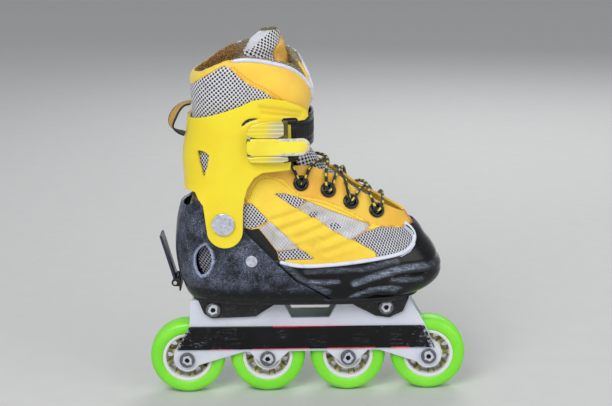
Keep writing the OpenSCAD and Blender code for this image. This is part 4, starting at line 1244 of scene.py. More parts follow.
def toe_finish():
    """Gloss black with pale bluish specks where the mesh says: partly rubbed wear, partly painted highlight."""
    f = Finish("toe gloss black")
    fine = f.noise(900, 5, 0.78)
    streak = f.noise(330, 6, 0.75, f.mapped(f.place(), (0.22, 1, 1), (0, 0.12, 0)))
    # The measure marks rubbed wear and painted highlights; the pale bluish colour there is partly a painted
    # highlight.
    worn = f.measure("worn")
    veil = worn * f.step(streak, 0.36, 0.7, 0.2, 1.0)
    share = veil * f.step(fine, 0.34, 0.7)
    share = share + veil * 0.16
    lines = scratches(f, 34, (1, 9, 15), (0, 0.25, 0), 0.009) * f.step(worn, 0.0, 0.5, 0.08, 0.7)
    share = f.most(share, lines, True)
    colour = f.blend(share, (5, 5, 8), (178, 192, 216))
    taped = f.rise(f.measure("tape"), 0.5, 0.3)
    return f.done(Base_Color=f.blend(taped, colour, (222, 229, 246)), Specular_IOR_Level=0.35,
                  Roughness=f.step(share, 0.0, 0.8, 0.15, 0.5), Normal=f.bump(share + fine, 0.00010))


TOE_BLACK = toe_finish()
toe = panel("toe_shell_moulded", BOOT, 0, TOE_OUTLINE, TOE_BLACK, step=1.9 * MM, relief=toe_relief,
            **stands_for("toe_shell", "black_gloss"))
flat, _ = flat_of(toe, BOOT, 0)
# Lines of rubbed wear and painted highlight: the ridge, the pad, the hollow, the band, the slit and the rear edge.
rub_and_highlight = []
for share, line, reach in (
        (1.0, smooth_line(RIDGE + mm([0, 1.2])), 4), (0.8, smooth_line(PAD[:4]) - mm([0, 2.6]), 3.4),
        (0.9, mm([[4, 25.4], [17, 24.2], [29, 25.4]]), 2.6), (0.4, mm([[0, 35], [60, 37.5]]), 3),
        (0.6, mm([[50, 36.5], [72, 40.6], [84, 42.6]]), 3), (0.6, SLIT_B - mm([0, 2.4]), 3),
        (0.5, REAR_FRONT[1:4] + mm([5, 2]), 4)):
    off = distance(flat, toe_flat(line), False)
    rub_and_highlight.append(share * (1 - smooth_step(off, 0.3 * reach * MM, reach * MM)))
nose = np.interp(points_of(toe.data)[:, 0], mm([98, 112, 124]), [1, 0.5, 0.15])
measure_on(toe, worn=np.max(rub_and_highlight, axis=0) * nose,
           tape=distance(flat, BOOT.unroll(dense(RIM_LINE[4:], 1 * MM, False), 0), False))
thicken(toe, TOE_WALL, 0.6 * MM)
print("toe shell", len(toe.data.vertices), "points")

# %% Floor and wings of the toe shell
FLOOR_H, FLOOR_INSET, FLOOR_BACK = mm([5.4, 0.2, -38])
WING_DEPTH, WING_WALL = 3.2 * MM, 0.6 * MM
WING_OUTLINE = mm([[6, 5.6], [32, 5.6], [22, 12], [-2, 26], [-16, 40], [-20, 46], [-47, 47], [-45, 43], [-28, 26],
                   [-4, 12]])


def level_cap(h, depth, low_x):
    """Flat floor at one height: a strip between the two sides."""
    angle = np.linspace(0, np.pi, 90)
    p = BOOT.rim(angle, np.full_like(angle, h), depth)
    p = p[p[:, 0] >= low_x]
    verts = np.vstack([p, p * [1, -1, 1]]) + [0, 0, SOLE]
    n = len(p)
    return verts, [(i, i + 1, n + i + 1, n + i) for i in range(n - 1)]


toe_floor = piece("toe_floor", *level_cap(FLOOR_H, FLOOR_INSET, FLOOR_BACK), BLACK_PLASTIC, body="toe_shell",
                  slot="black_plastic")
modifier(toe_floor, "SOLIDIFY", thickness=2 * MM, offset=0)
wings = panel("toe_wings", BOOT, WING_DEPTH, WING_OUTLINE, BLACK_PLASTIC, body="toe_shell",
              slot="black_plastic")
thicken(wings, WING_WALL)
print("toe floor and wings", len(wings.data.vertices), "points")

# %% [markdown]
# ## Vamp
# The soft upper is sewn from several cloths: yellow leather, silver stripes, open net and an eyelet band on top. Each
# could be its own sheet, but sewn layers lie on each other by less than a millimetre. So one sheet is cut fine, each
# layer is a loop drawn on it, and the distance to that loop is kept at every point: the finish cuts clean edges from
# it, and the same distance lifts the layer and pulls in its seam.

# %% Cloth zones of the vamp
VAMP_DEPTH = 4 * MM
VAMP_WALL = 2.6 * MM
THROAT = mm([[106, 79], [95, 80.5], [83.6, 86], [65.6, 95.6], [46.6, 106], [32.6, 118], [4.6, 131], [-13, 133],
             [-41, 131]])
VAMP_OUTLINE = np.vstack([
    mm([[-76, 62], [-44, 50], [-30, 44]]), RIM_LINE[1:5] - mm([0, 6]), mm([[140, 46], [140, 79]]), THROAT,
    mm([[-62, 121], [-76, 100]])])
NET_LOOPS = [mm(p) for p in (
    [[-29, 108.4], [-18.2, 108], [2.4, 100.4], [-8.1, 93.9]],
    [[-57, 99.5], [-49.3, 100.3], [-33.5, 83.5], [-49.8, 76.0], [-60, 80]],
    [[-27.3, 54.1], [-5.9, 56.9], [8.5, 46.6], [-24, 46]],
    [[42.3, 64.1], [56, 70], [70, 73], [86.5, 70.5], [96, 70], [150, 72], [150, 38], [66, 44], [64.4, 51.2]])]
SILVER_LOOPS = [mm(p) for p in (
    [[1.8, 100.4], [24.7, 90.2], [46.8, 81.1], [60.5, 76.4], [56, 70.5], [40.4, 63.6], [21.4, 75], [11.6, 83.2],
     [-7.9, 93.9]],
    [[-43.6, 77.5], [-31.8, 83.2], [-5.8, 56.9], [-26.5, 54.3]])]
PORT_LOOPS = [mm(p) for p in (
    [[3.1, 89.9], [12.2, 90.3], [9.8, 85.3], [3.6, 85]], [[20.9, 78.2], [28.6, 79.8], [33.5, 75.3], [25.4, 72.6]])]
EYE_BAND = mm([[-62, 122], [-53.7, 99.2], [-52.5, 107.8], [-48.4, 119.7], [-38.3, 126.5], [-20, 121], [-6, 105.5],
               [12, 101.5], [30, 94.5], [48, 84.5], [60, 77.2], [73, 73.3], [88, 72], [97, 71.3], [106, 72],
               [130, 75], [130, 96], [60, 118], [0, 140], [-62, 140]])
COUNTER = mm([[-62, 80], [-49.8, 75.6], [-43.6, 77.2], [-35, 65.8], [-26.8, 54.2], [-25, 46], [-22, 34], [-90, 34],
              [-90, 84]])


def vamp_flat(loop, closed=True, soft=1):
    shape = rounded(dense(loop, 5 * MM), soft) if closed else loop
    return BOOT.unroll(dense(shape, 2 * MM, closed), VAMP_DEPTH)


net_flat, silver_flat, port_flat = ([vamp_flat(p) for p in loops] for loops in (NET_LOOPS, SILVER_LOOPS, PORT_LOOPS))
band_flat = vamp_flat(EYE_BAND, soft=2)
counter_flat = vamp_flat(COUNTER)


def depth_of(flat, loops):
    """Depth inside the nearest of several loops, negative outside all of them."""
    return np.max([depth_in(flat, loop) for loop in loops], axis=0)


print(len(NET_LOOPS) + len(PORT_LOOPS), "nets and", len(SILVER_LOOPS), "silver stripes on each side")

# %% Vamp finish
def upper_finish():
    """Leather, silver cloth, net and eyelet band on one sheet."""
    f = Finish("sewn upper")
    net, silver, port, band, dark = (f.measure(name) for name in ("net", "silver", "port", "band", "counter"))
    edge = 0.12 * MM
    is_net = f.step(f.most(net - f.most(band, 0.0), port), -edge, edge)
    is_silver = f.step(silver, -edge, edge)
    is_band = f.step(band, -edge, edge)
    grain = f.cells(620)
    fine = f.noise(260, 5, 0.6)
    tone = f.patches(0.3, 0.75, 24, 4)
    leather = f.blend(tone, (255, 226, 66), (250, 206, 58))
    eyestay = f.blend(tone, (252, 210, 74), (242, 178, 56))
    net_colour, net_height = net_looks(f, (228, 228, 236), (12, 11, 14), MESH_PITCH, 0.62)
    stripe = f.blend(f.patches(0.35, 0.8, 60, 5), (220, 221, 229), (188, 181, 160))
    stripe = f.blend(f.step(net_height, 1, 0, 0, 0.32), stripe, (128, 124, 116))
    colour = f.blend(is_silver, leather, stripe)
    colour = f.blend(is_band, colour, eyestay)
    colour = f.blend(is_net, colour, net_colour)
    shade = f.rise(f.measure("seam"), 0.9, 0.1) * f.step(f.noise(300, 3), 0.25, 0.6, 0.35, 0.8)
    colour = f.blend(shade, colour, (196, 120, 34))
    dirt = f.patches(0.56, 0.8, 44, 6, 0.68) * 0.35
    colour = f.blend(dirt, colour, (170, 140, 74))
    colour = f.blend(f.step(dark, -edge, edge), colour, (9, 9, 12))
    creases = f.bump(fine + f.step(grain, 0.0, 0.12) * 0.4, 0.00022)
    return f.done(Base_Color=colour, Roughness=f.step(is_silver, 0, 1, 0.56, 0.42),
                  Normal=f.bump(is_net * net_height, 0.0006, under=creases), Sheen_Weight=0.1)


UPPER = upper_finish()
print("sewn upper ready")

# %% Vamp
WRINKLES = [mm(p) for p in (
    [[-30, 84], [-14, 88], [2, 93]], [[-24, 74], [-4, 80], [16, 86]], [[-8, 66], [8, 72], [24, 80]],
    [[2, 58], [20, 64], [38, 72]], [[-12, 58], [0, 62], [12, 66]], [[18, 52], [34, 57], [50, 62]])]
TOE_EASE = 0.6
wrinkle_flat = [vamp_flat(smooth_line(p), False) for p in WRINKLES]


def vamp_relief(flat, side):
    """Layers stand proud of the net, seams pull in, and creases run where the foot bends."""
    net = np.maximum(depth_of(flat, net_flat), depth_of(flat, port_flat))
    silver = depth_of(flat, silver_flat)
    band = depth_in(flat, band_flat)
    out = 0.5 * MM * rise(-net, -0.6, 0.8)
    out += 0.35 * MM * rise(silver, -0.5, 0.8)
    out += 0.7 * MM * rise(band, -0.5, 0.9)
    for k, crease in enumerate(wrinkle_flat):
        off = distance(flat, crease, False)
        out -= (1.3 - 0.12 * k) * MM * bell(off, 2.2)
        out += 0.7 * MM * bell(off - 4.5 * MM, 2.6)
    swell = np.sin(flat[:, 0] / (31 * MM) + side) * np.sin(flat[:, 1] / (17 * MM))
    return out + 0.35 * MM * swell


vamp = panel("upper", BOOT, VAMP_DEPTH, VAMP_OUTLINE, UPPER, step=1.5 * MM, relief=vamp_relief,
             **stands_for("vamp", "orange_textile"))
flat, _ = flat_of(vamp, BOOT, VAMP_DEPTH)
net, silver, band = depth_of(flat, net_flat), depth_of(flat, silver_flat), depth_in(flat, band_flat)
measure_on(vamp, net=net, silver=silver, band=band, port=depth_of(flat, port_flat),
           counter=depth_in(flat, counter_flat), seam=np.min(np.abs([net, silver, band]), axis=0))
at = points_of(vamp.data)
lay_flat(vamp.data, np.column_stack([at[:, 0] - TOE_EASE * np.abs(at[:, 1]), at[:, 2]]))
thicken(vamp, VAMP_WALL, 0.5 * MM)
print("upper", len(vamp.data.vertices), "points")

# %% [markdown]
# ## Stitches, piping and eyelets
# Thread runs two millimetres inside the edge of the eyelet band. The row follows the sewn surface, so its line is
# bent round the last first and Geometry Nodes lay the stitches along it. Piping is a cord in a folded tape: a tube.

# %% Stitch rows
THREAD = plastic("yellow thread", (236, 178, 60), (206, 140, 40), 0.6, 2400, 0.0)


def bent(last, flat, depth, lift=0.0):
    """Lines of both sides on the last's surface, from a flat one."""
    at = last.bend(flat, depth) + last.normal(flat, depth) * lift
    return [at * [1, -side, 1] + [0, 0, SOLE] for side in SIDES]


def on_last(last, line, depth, lift=0.0, times=2):
    """The same from a line drawn in side view, as a soft curve."""
    return bent(last, last.unroll(dense(smooth_line(line, times), 2 * MM, False), depth), depth, lift)


def sewn(name, lines, body, pitch, length, thread):
    """Rows of stitches along lines, on one body."""
    verts = np.vstack(lines)
    edges, start = [], 0
    for line in lines:
        edges += [(start + i, start + i + 1) for i in range(len(line) - 1)]
        start += len(line)
    obj = grown(name, verts, edges, [], STITCHES, {
        "Pitch": pitch, "Length": length, "Thread": thread, "Finish": THREAD})
    return mount(obj, body, slot="orange_textile")


BAND_SEAM = mm([[-51, 105], [-46, 117], [-37.5, 123.8], [-21, 118.6], [-7.5, 103], [11.5, 99], [29.4, 92], [47.4, 82],
                [60, 74.6]])
EYE_EDGE = mm([[91, 79.5], [82, 83.8], [64.6, 92.8], [45.6, 103.2], [31.6, 114.8], [4, 128]])
rows = []
for line in (BAND_SEAM, EYE_EDGE):
    rows += on_last(BOOT, line, VAMP_DEPTH, 1.1 * MM)
for stripe in silver_flat:
    inset = stripe + (stripe.mean(0) - stripe) * 0.045
    rows += bent(BOOT, np.vstack([inset, inset[:1]]), VAMP_DEPTH, 0.9 * MM)
stitches = sewn("upper_stitches", rows, "vamp", 2.6 * MM, 1.7 * MM, 0.32 * MM)
print("stitches", len(stitches.data.polygons), "faces in", len(rows), "rows")

# %% Piping
def coated(name, clean, scuffed, dirt, grain, **inputs):
    """Coated tape with a fine grain and grey scuffs."""
    f = Finish(name)
    *noise, height = grain
    return f.done(Base_Color=f.blend(f.patches(*dirt) * 0.5, clean, scuffed), Normal=f.bump(f.noise(*noise), height),
                  **inputs)


PIPING_WHITE = coated("white piping", (226, 230, 244), (150, 150, 158), (0.5, 0.76, 130, 6, 0.68), (420, 4, 0.00012),
                      Roughness=0.45)
PIPING_R = 2.0 * MM


def tapered(path, radius, at, shares):
    """Radius along a path, thinner towards its ends."""
    return radius * np.interp(np.linspace(0, 1, len(path)), at, shares)


tapes = []
for line in on_last(BOOT, RIM_LINE + mm([-0.4, 1.6]), 1.9 * MM, times=3):
    verts, faces, uv = tube(line, tapered(line, PIPING_R, [0, 0.02, 0.97, 1], [0.5, 1, 1, 0.5]))
    tapes.append(piece("tape", verts, faces, PIPING_WHITE, uv))
as_one("piping_tape", tapes, **stands_for("piping", "white_plastic"))
print("piping", round(float(run_of(line)[-1]), 3), "m on each side")

# %% Eyelets
EYELETS = mm([[-4, 116], [21, 108], [42, 96.5], [66, 87]])
EYELET_R, EYELET_HOLE, EYELET_BACK = mm([7.4, 3.9, -1.2])
EYELET_BLACK = plastic("eyelet black", (9, 9, 11), (40, 40, 46), 0.2, scratch=0.3, coat=0.3)


def set_on(last, at, depth, lift, side):
    """Matrix that stands a turned piece on the last, its Y axis outwards."""
    flat = last.unroll(np.array([at]), depth)
    out = last.normal(flat, depth)[0] * [1, -side, 1]
    spot = last.bend(flat, depth)[0] * [1, -side, 1] + [0, 0, SOLE] + out * lift
    turn = Vector(out).to_track_quat("Y", "Z").to_matrix().to_4x4()
    return Matrix.Translation(spot) @ turn


def eyelet_profile():
    """A rolled ring with a recessed floor, as radius and height."""
    middle, roll = (EYELET_R + EYELET_HOLE) / 2, (EYELET_R - EYELET_HOLE) / 2
    top = [(middle - roll * math.cos(a), 0.2 * MM + 1.35 * MM * math.sin(a)) for a in np.linspace(0, math.pi, 9)]
    return [(EYELET_HOLE, EYELET_BACK), *top, (EYELET_R, EYELET_BACK)]


floor_top, floor_r = -0.2 * MM, EYELET_HOLE + 0.6 * MM
eyelet_floor = [(0.05 * MM, floor_top), (floor_r, floor_top), (floor_r, EYELET_BACK), (0.05 * MM, EYELET_BACK)]
rings = []
for side in SIDES:
    for at in EYELETS:
        stand = set_on(BOOT, at, VAMP_DEPTH, 2.1 * MM, side)
        for profile in (eyelet_profile(), eyelet_floor):
            rings.append(piece("eyelet", *lathe(profile, 32), EYELET_BLACK))
            rings[-1].data.transform(stand)
as_one("eyelet_rings", rings, **stands_for("eyelets", "black_gloss"))
print(len(EYELETS) * 2, "eyelets")

# %% [markdown]
# ## Cuff
# The hinged cuff is the brightest piece: one yellow moulding that wraps the ankle and ends in a round lobe over the
# pivot. It is cut like the shells. Its vent is a real hole with net behind it, and the long dents under the collar
# and the crescent above the buckle are drawn lines that the sheet follows.

# %% Cuff finish
def cuff_finish():
    """Glossy yellow with fine handling marks; painted shade darker in the dents and near black in the crescent."""
    f = Finish("cuff yellow")
    tone = f.patches(0.3, 0.75, 16, 3)
    yellow = f.blend(tone, (252, 234, 40), (246, 220, 36))
    # Painted shade: darker orange along the dents under the collar.
    colour = f.blend(f.measure("deep") * 0.85, yellow, (214, 150, 30))
    # Painted shadow: the crescent groove above the buckle, near black.
    colour = f.blend(f.rise(f.measure("slot"), -0.5, 0.1), colour, (14, 10, 6))
    lines = scratches(f, 30, (1, 10, 10), (0.1, 0.5, 0.2), 0.010) * 0.35
    colour = f.blend(lines, colour, (255, 244, 150))
    dirt = f.patches(0.62, 0.8, 190, 6, 0.7) * 0.22
    colour = f.blend(dirt, colour, (176, 150, 60))
    return f.done(Base_Color=colour, Roughness=f.step(f.noise(70, 4), 0.25, 0.8, 0.26, 0.42),
                  Normal=f.bump(f.noise(520, 3), 0.00007), Coat_Weight=0.15, Coat_Roughness=0.1)


CUFF_YELLOW = cuff_finish()
print("cuff yellow ready")

# %% Cuff
CUFF_WALL = 3 * MM
PIVOT = mm([-75.4, 83])
LOBE_R = 16.5 * MM
lobe_turn = np.radians(np.linspace(180, 360, 17))
lobe = PIVOT + mm([1.2, -6.5]) + LOBE_R * np.column_stack([np.cos(lobe_turn), np.sin(lobe_turn)])
CUFF_OUTLINE = np.vstack([
    mm([[-125, 110], [-106, 113], [-101, 112], [-98, 106], [-93.6, 100]]), lobe,
    mm([[-57, 98], [-55.4, 107], [-52.5, 116.4], [-46, 126], [-38, 130.5], [-13, 132], [-11.4, 145], [-12, 177],
        [1, 176.6], [4.5, 179.5], [3.5, 185], [-3, 190], [-16, 196], [-32, 199], [-46, 197], [-57, 192], [-71, 187],
        [-88, 182], [-107, 178], [-125, 178]])])
CUFF_VENT = mm([[-98.6, 149.6], [-96, 150.8], [-91, 150], [-86.6, 147], [-88, 138], [-91.6, 127], [-93, 127],
                [-96.6, 138]])
DENTS = [mm(p) for p in ([[-40, 191.5], [-22, 188.6], [-2, 183.6]], [[-38, 186.4], [-20, 183.6], [-3, 180.2]])]
CRESCENT = mm([[-57, 172.6], [-55.6, 176.4], [-51.5, 180], [-46, 181.2], [-38, 181], [-46, 179.2], [-52, 176.6]])


def cuff_flat(line, closed=False):
    return CUFF.unroll(dense(line, 2 * MM, closed), 0)


dent_flat = [cuff_flat(smooth_line(p)) for p in DENTS]
crescent_flat = cuff_flat(rounded(CRESCENT, 1), True)
cuff_vent_flat = cuff_flat(CUFF_VENT, True)


def cuff_relief(flat, side):
    """Dents under the collar on both sides, the buckle's crescent on its side, and a lip round the vent."""
    out = np.zeros(len(flat))
    for dent in dent_flat:
        out -= 1.1 * MM * bell(distance(flat, dent, False), 1.7)
    lip = np.maximum(-depth_in(flat, cuff_vent_flat), 0)
    out += 0.5 * MM * (1 - rise(lip, 0.6, 2.4))
    if side == BUCKLE_SIDE:
        out -= 1.6 * MM * rise(depth_in(flat, crescent_flat), -0.8, 0.6)
    return out - 0.05 * MM


cuff = panel("cuff_moulded", CUFF, 0, CUFF_OUTLINE, CUFF_YELLOW, [CUFF_VENT], 1.7 * MM, cuff_relief,
             **stands_for("cuff", "yellow_plastic"))
flat, side = flat_of(cuff, CUFF, 0)
# Painted shade along the dents, and in the crescent on the buckle side.
deep = sum(bell(distance(flat, dent, False), 1.5) * 0.5 for dent in dent_flat)
measure_on(cuff, deep=np.clip(deep, 0, 1), slot=np.where(side == BUCKLE_SIDE, depth_in(flat, crescent_flat), -1))
thicken(cuff, CUFF_WALL, 0.8 * MM, 3)
panel("cuff_vent_net", CUFF, 4.2 * MM, CUFF_VENT + (CUFF_VENT - CUFF_VENT.mean(0)) * 0.35, NET, body="cuff",
      slot="mesh_textile")
print("cuff", len(cuff.data.vertices), "points")

# %% Pivot rivets
def rivet_finish():
    """Soft aluminium, scratched and pitted all over."""
    f = Finish("scuffed rivet")
    pits = f.patches(0.48, 0.66, 330, 6, 0.75)
    cloud = f.patches(0.3, 0.7, 120, 4)
    share = f.most(pits * 0.55, scratches(f, 90, (1, 8, 8), (0, 0.6, 0), 0.03) * 0.7)
    colour = f.blend(share, f.blend(cloud, (226, 229, 240), (196, 200, 214)), (120, 120, 126))
    return f.done(Base_Color=colour, Metallic=0.55, Roughness=f.step(share, 0, 1, 0.34, 0.6),
                  Normal=f.bump(share, 0.00015))


RIVET = rivet_finish()
fair("pivot_caps", "cuff_rivets", RIVET, 0.9 * MM, "steel", 3)
fair("shell_caps", "shell_rivets", RIVET, 0.6 * MM, "steel", 3)
fair("strap_cap", "strap_rivet", RIVET, 0.5 * MM, "steel")
print("rivets softened")

# %% [markdown]
# ## Buckle and strap
# A lever lies over a clear base and pulls a toothed strap across the instep. The lever is a flat outline bent along
# its length, so its outline gives the distance to the edge, and that gives both the silver rim and the crown of the
# yellow face. The strap is cut from the cuff's form, a little deeper, and its teeth are a wave along it.

# %% Lever
lever_low, lever_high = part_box("buckle_lever")
PIN_X = centre("buckle_pin")[0]
LEVER_FLAT, LEVER_BOW, LEVER_WALL = mm([36, 40, 2.6])
KNUCKLE_R = 2.5 * MM
TIP_R = half("buckle_lever")[2]


def lever_outline():
    """Straight sides, a round tip and a rear end that tapers to the pin."""
    turn = np.linspace(-np.pi / 2, np.pi / 2, 21)
    middle = (lever_low.z + lever_high.z) / 2
    tip = np.column_stack([lever_high.x - TIP_R + TIP_R * np.cos(turn), middle + TIP_R * np.sin(turn)])
    rear = np.array([[PIN_X + 2 * MM, lever_high.z], [PIN_X - 1.4 * MM, lever_high.z - 1.4 * MM],
                     [PIN_X - 2.5 * MM, middle + 3 * MM], [PIN_X - 2.5 * MM, middle - 3 * MM],
                     [PIN_X - 1.4 * MM, lever_low.z + 1.4 * MM], [PIN_X + 2 * MM, lever_low.z]])
    return np.vstack([tip, rear])


def lever_face(x):
    """How far out the lever lies: flat over its base, then bent round the leg."""
    past = np.clip((x - PIN_X - LEVER_FLAT) / LEVER_BOW, 0, 0.9)
    return lever_low.y + LEVER_BOW * (1 - np.sqrt(1 - past ** 2))


def lever_finish():
    """Yellow face in a pale silver rim, both rubbed."""
    f = Finish("buckle lever")
    worn = f.noise(300, 5, 0.65)
    share = f.rise(f.measure("rim") + (worn - 0.5) * (0.7 * MM), 0.25, -0.25)
    yellow = f.blend(f.patches(0.3, 0.7, 40, 3), (253, 238, 70), (244, 222, 50))
    pale = f.blend(f.step(worn, 0.4, 0.7), (226, 222, 204), (176, 168, 132))
    return f.done(Base_Color=f.blend(share, yellow, pale), Roughness=0.3,
                  Normal=f.bump(f.noise(500, 3), 0.00006), Coat_Weight=0.2, Coat_Roughness=0.1)


def build_lever():
    loop = dense(lever_outline(), 1.2 * MM)
    flat, tris = fill([loop], 1.2 * MM)
    edge = depth_in(flat, loop)
    frontness = smooth_step(flat[:, 0], PIN_X + 16 * MM, PIN_X + 34 * MM)
    width = -0.7 * MM + 3.4 * MM * frontness
    crown = 0.5 * MM * rise(edge, 0.2, 1.2)
    groove = 0.45 * MM * bell(edge - width, 0.45)
    y = lever_face(flat[:, 0]) + 0.5 * MM - crown + groove
    verts = np.column_stack([flat[:, 0], y, flat[:, 1]])
    obj = piece("lever_plate", verts, tris, lever_finish(), flat, **stands_for("buckle_lever", "yellow_plastic"))
    if np.mean([p.normal.y for p in obj.data.polygons]) > 0:
        obj.data.flip_normals()
    measure_on(obj, rim=edge - width)
    thicken(obj, LEVER_WALL, 0.5 * MM)
    return obj


lever = build_lever()
pin_low, pin_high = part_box("buckle_pin")
knuckle_h = np.linspace(lever_low.z + 0.4 * MM, lever_high.z - 0.4 * MM, 6)
verts, faces, uv = tube(np.array([[PIN_X, pin_low.y + 1.5 * MM, z] for z in knuckle_h]), KNUCKLE_R, 20)
outward(piece("lever_knuckle", verts, faces, CUFF_YELLOW, uv, body="buckle_lever", slot="yellow_plastic"))
print("lever", len(lever.data.vertices), "points")

# %% Buckle base
def slab(name, loop, near, far, material, rim, **where):
    """A plate drawn in side view between two distances, with soft edges."""
    loop = np.array(loop)
    n = len(loop)
    verts = np.vstack([np.column_stack([loop[:, 0], np.full(n, y), loop[:, 1]]) for y in (near, far)])
    faces = [tuple(range(n)), tuple(range(2 * n - 1, n - 1, -1))]
    faces += [(i, n + i, n + (i + 1) % n, (i + 1) % n) for i in range(n)]
    obj = outward(piece(name, verts, faces, material, **where))
    obj.data.set_sharp_from_angle(angle=math.radians(40))
    bevel(obj, rim, 3, 30)


def base_finish():
    """Clear grey plastic: the yellow of the cuff shows through its rear, the front end is frosted."""
    f = Finish("clear buckle base")
    x, z = f.axis("X"), f.axis("Z")
    ribs = f.step(f.sine(z * 1700), -0.2, 0.8)
    through = f.rise(x + f.noise(90, 3) * (14 * MM), -32, -14)
    yellow = f.blend(ribs, (232, 212, 46), (248, 230, 70))
    pale = f.blend(ribs, (190, 180, 128), (220, 214, 184))
    return f.done(Base_Color=f.blend(through, yellow, pale), Roughness=0.22, IOR=1.5, Coat_Weight=0.35,
                  Coat_Roughness=0.08, Normal=f.bump(ribs, 0.00012))


base_low, base_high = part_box("buckle_base")
LEVER_GAP = 0.4 * MM
CLEAR = base_finish()
top, foot = base_high.z, base_low.z
upper_foot, lower_top = lever_high.z + LEVER_GAP, lever_low.z - LEVER_GAP
back, tip = base_low.x, base_high.x
upper_block = rounded([[back, upper_foot], [tip, upper_foot], [tip, top], [tip - 22 * MM, top],
                       [back + 6 * MM, top - 2 * MM], [back, top - 7 * MM]], 1)
lower_block = rounded([[back, foot + 2.4 * MM], [back + 5 * MM, foot], [tip, foot], [tip, lower_top],
                       [back, lower_top]], 1)
plate = [[back + 3 * MM, foot + 3 * MM], [tip - 1 * MM, foot + 1 * MM], [tip - 1 * MM, top - 1 * MM],
         [back + 8 * MM, top - 4 * MM], [back + 2 * MM, upper_foot + 2 * MM]]
end = [[tip - 4.2 * MM, upper_foot - 0.2 * MM], [tip + 0.1 * MM, upper_foot - 0.2 * MM],
       [tip + 0.1 * MM, top + 0.1 * MM], [tip - 4.2 * MM, top + 0.1 * MM]]
for name, loop, near, finish, rim in (
        ("base_upper", upper_block, base_low.y, CLEAR, 1.0 * MM),
        ("base_lower", lower_block, base_low.y, CLEAR, 0.8 * MM),
        ("base_plate", plate, base_high.y - 2 * MM, CLEAR, 0.5 * MM),
        ("base_end", end, base_low.y - 0.1 * MM, CUFF_YELLOW, 0.8 * MM)):
    slab(name, loop, near, base_high.y, finish, rim, body="buckle_base",
         replaces=["buckle_base"] if name == "base_upper" else (), slot="clear_grey_plastic")
print("buckle base in four parts")

# %% Strap
STRAP_DEPTH, STRAP_WALL = 3.5 * MM, 2.2 * MM
STRAP_MIDDLE, STRAP_FALL, CLIP_R = 167 * MM, 0.07, 3.3 * MM
STRAP_OUTLINE = mm([[-34, 140], [24, 155], [24, 179], [-34, 182]])
TOOTH_PITCH = 3.2 * MM
STRAP_BLACK = plastic("strap black", (7, 7, 9), (46, 48, 54), 0.24, scratch=0.6)


def strap_relief(flat, _):
    """A raised border and a ladder of teeth between."""
    off = np.abs(flat[:, 1] - (STRAP_MIDDLE - STRAP_FALL * flat[:, 0]))
    ladder = 0.5 + 0.5 * np.sin(flat[:, 0] * 2 * np.pi / TOOTH_PITCH)
    tooth = 0.55 * MM * smooth_step(ladder, 0.3, 0.7) * (1 - rise(off, 6, 7))
    return -0.3 * MM + np.maximum(tooth, 0.4 * MM * rise(off, 8.5, 9.5))


strap = panel("strap_ladder", CUFF, STRAP_DEPTH, STRAP_OUTLINE, STRAP_BLACK, step=1.1 * MM, relief=strap_relief,
              **stands_for("strap", "strap_plastic"))
thicken(strap, STRAP_WALL, 0.4 * MM)
clips = []
for h, climb in ((177.4, -0.6), (141.6, 1.2)):
    line = mm([[-20, h], [-14, h + climb / 2], [-6, h + climb]])
    path = smooth_line(on_last(CUFF, line, 0.8 * MM, times=0)[SIDES.index(BUCKLE_SIDE)], 1)
    radius = tapered(path, CLIP_R, [0, 0.12, 0.5, 0.86, 1], [0.55, 0.95, 1, 0.95, 0.5])
    verts, faces, uv = tube(path, radius, 16)
    clips.append(piece("clip", verts, faces, STRAP_BLACK, uv))
as_one("strap_clips", clips, "strap", slot="strap_plastic")
print("strap", len(strap.data.vertices), "points and", len(clips), "clips")

# %% [markdown]
# ## Padding of the collar
# Foam sewn between cloths swells where nothing holds it and stays flat under the cuff and the strap. The solids give
# the start. Each is remeshed to even cells and blown up a little by Blender's cloth simulation, with the held parts
# pinned and every point kept within a small distance, so that it stays clear of its neighbours. The seams, cloths
# and trims are laid on the swollen shape afterwards, from distances kept at its points.

# %% Swelling a pad
VOXEL = 4.0 * MM
CLOTH_FRAMES = 20
FOAM_CLOTH = {"vertex_group_mass": "held", "quality": 6, "mass": 0.2, "use_pressure": True,
              "uniform_pressure_force": 4.0, "tension_stiffness": 12, "compression_stiffness": 12,
              "bending_stiffness": 0.4}


def pad_start(name, node, shrink):
    """Merged copy of a soft solid, drawn in a little and remeshed to even cells."""
    mesh = frame["nodes"][node].data.copy()
    with edited(mesh) as work:
        bmesh.ops.remove_doubles(work, verts=work.verts, dist=0.02 * MM)
        bmesh.ops.recalc_face_normals(work, faces=work.faces)
    obj = placed(name, mesh)
    modifier(obj, "REMESH", mode="VOXEL", voxel_size=VOXEL)
    modifier(obj, "SMOOTH", factor=0.5, iterations=12)
    even = settled(obj)
    put_points(even, points_of(even) - normals_of(even) * shrink)
    return obj


def normals_of(mesh):
    return np.array([v.normal for v in mesh.vertices])


def eased(mesh, values):
    """Values of the points, evened out along the edges."""
    ends = np.array([e.vertices[:] for e in mesh.edges])
    count = np.bincount(ends.ravel(), minlength=len(values))
    for _ in range(6):
        total = np.zeros(len(values))
        np.add.at(total, ends[:, 0], values[ends[:, 1]])
        np.add.at(total, ends[:, 1], values[ends[:, 0]])
        values = 0.5 * values + 0.5 * total / np.maximum(count, 1)
    return values


def put_points(mesh, at):
    mesh.vertices.foreach_set("co", np.asarray(at, np.float32).ravel())
    mesh.update()


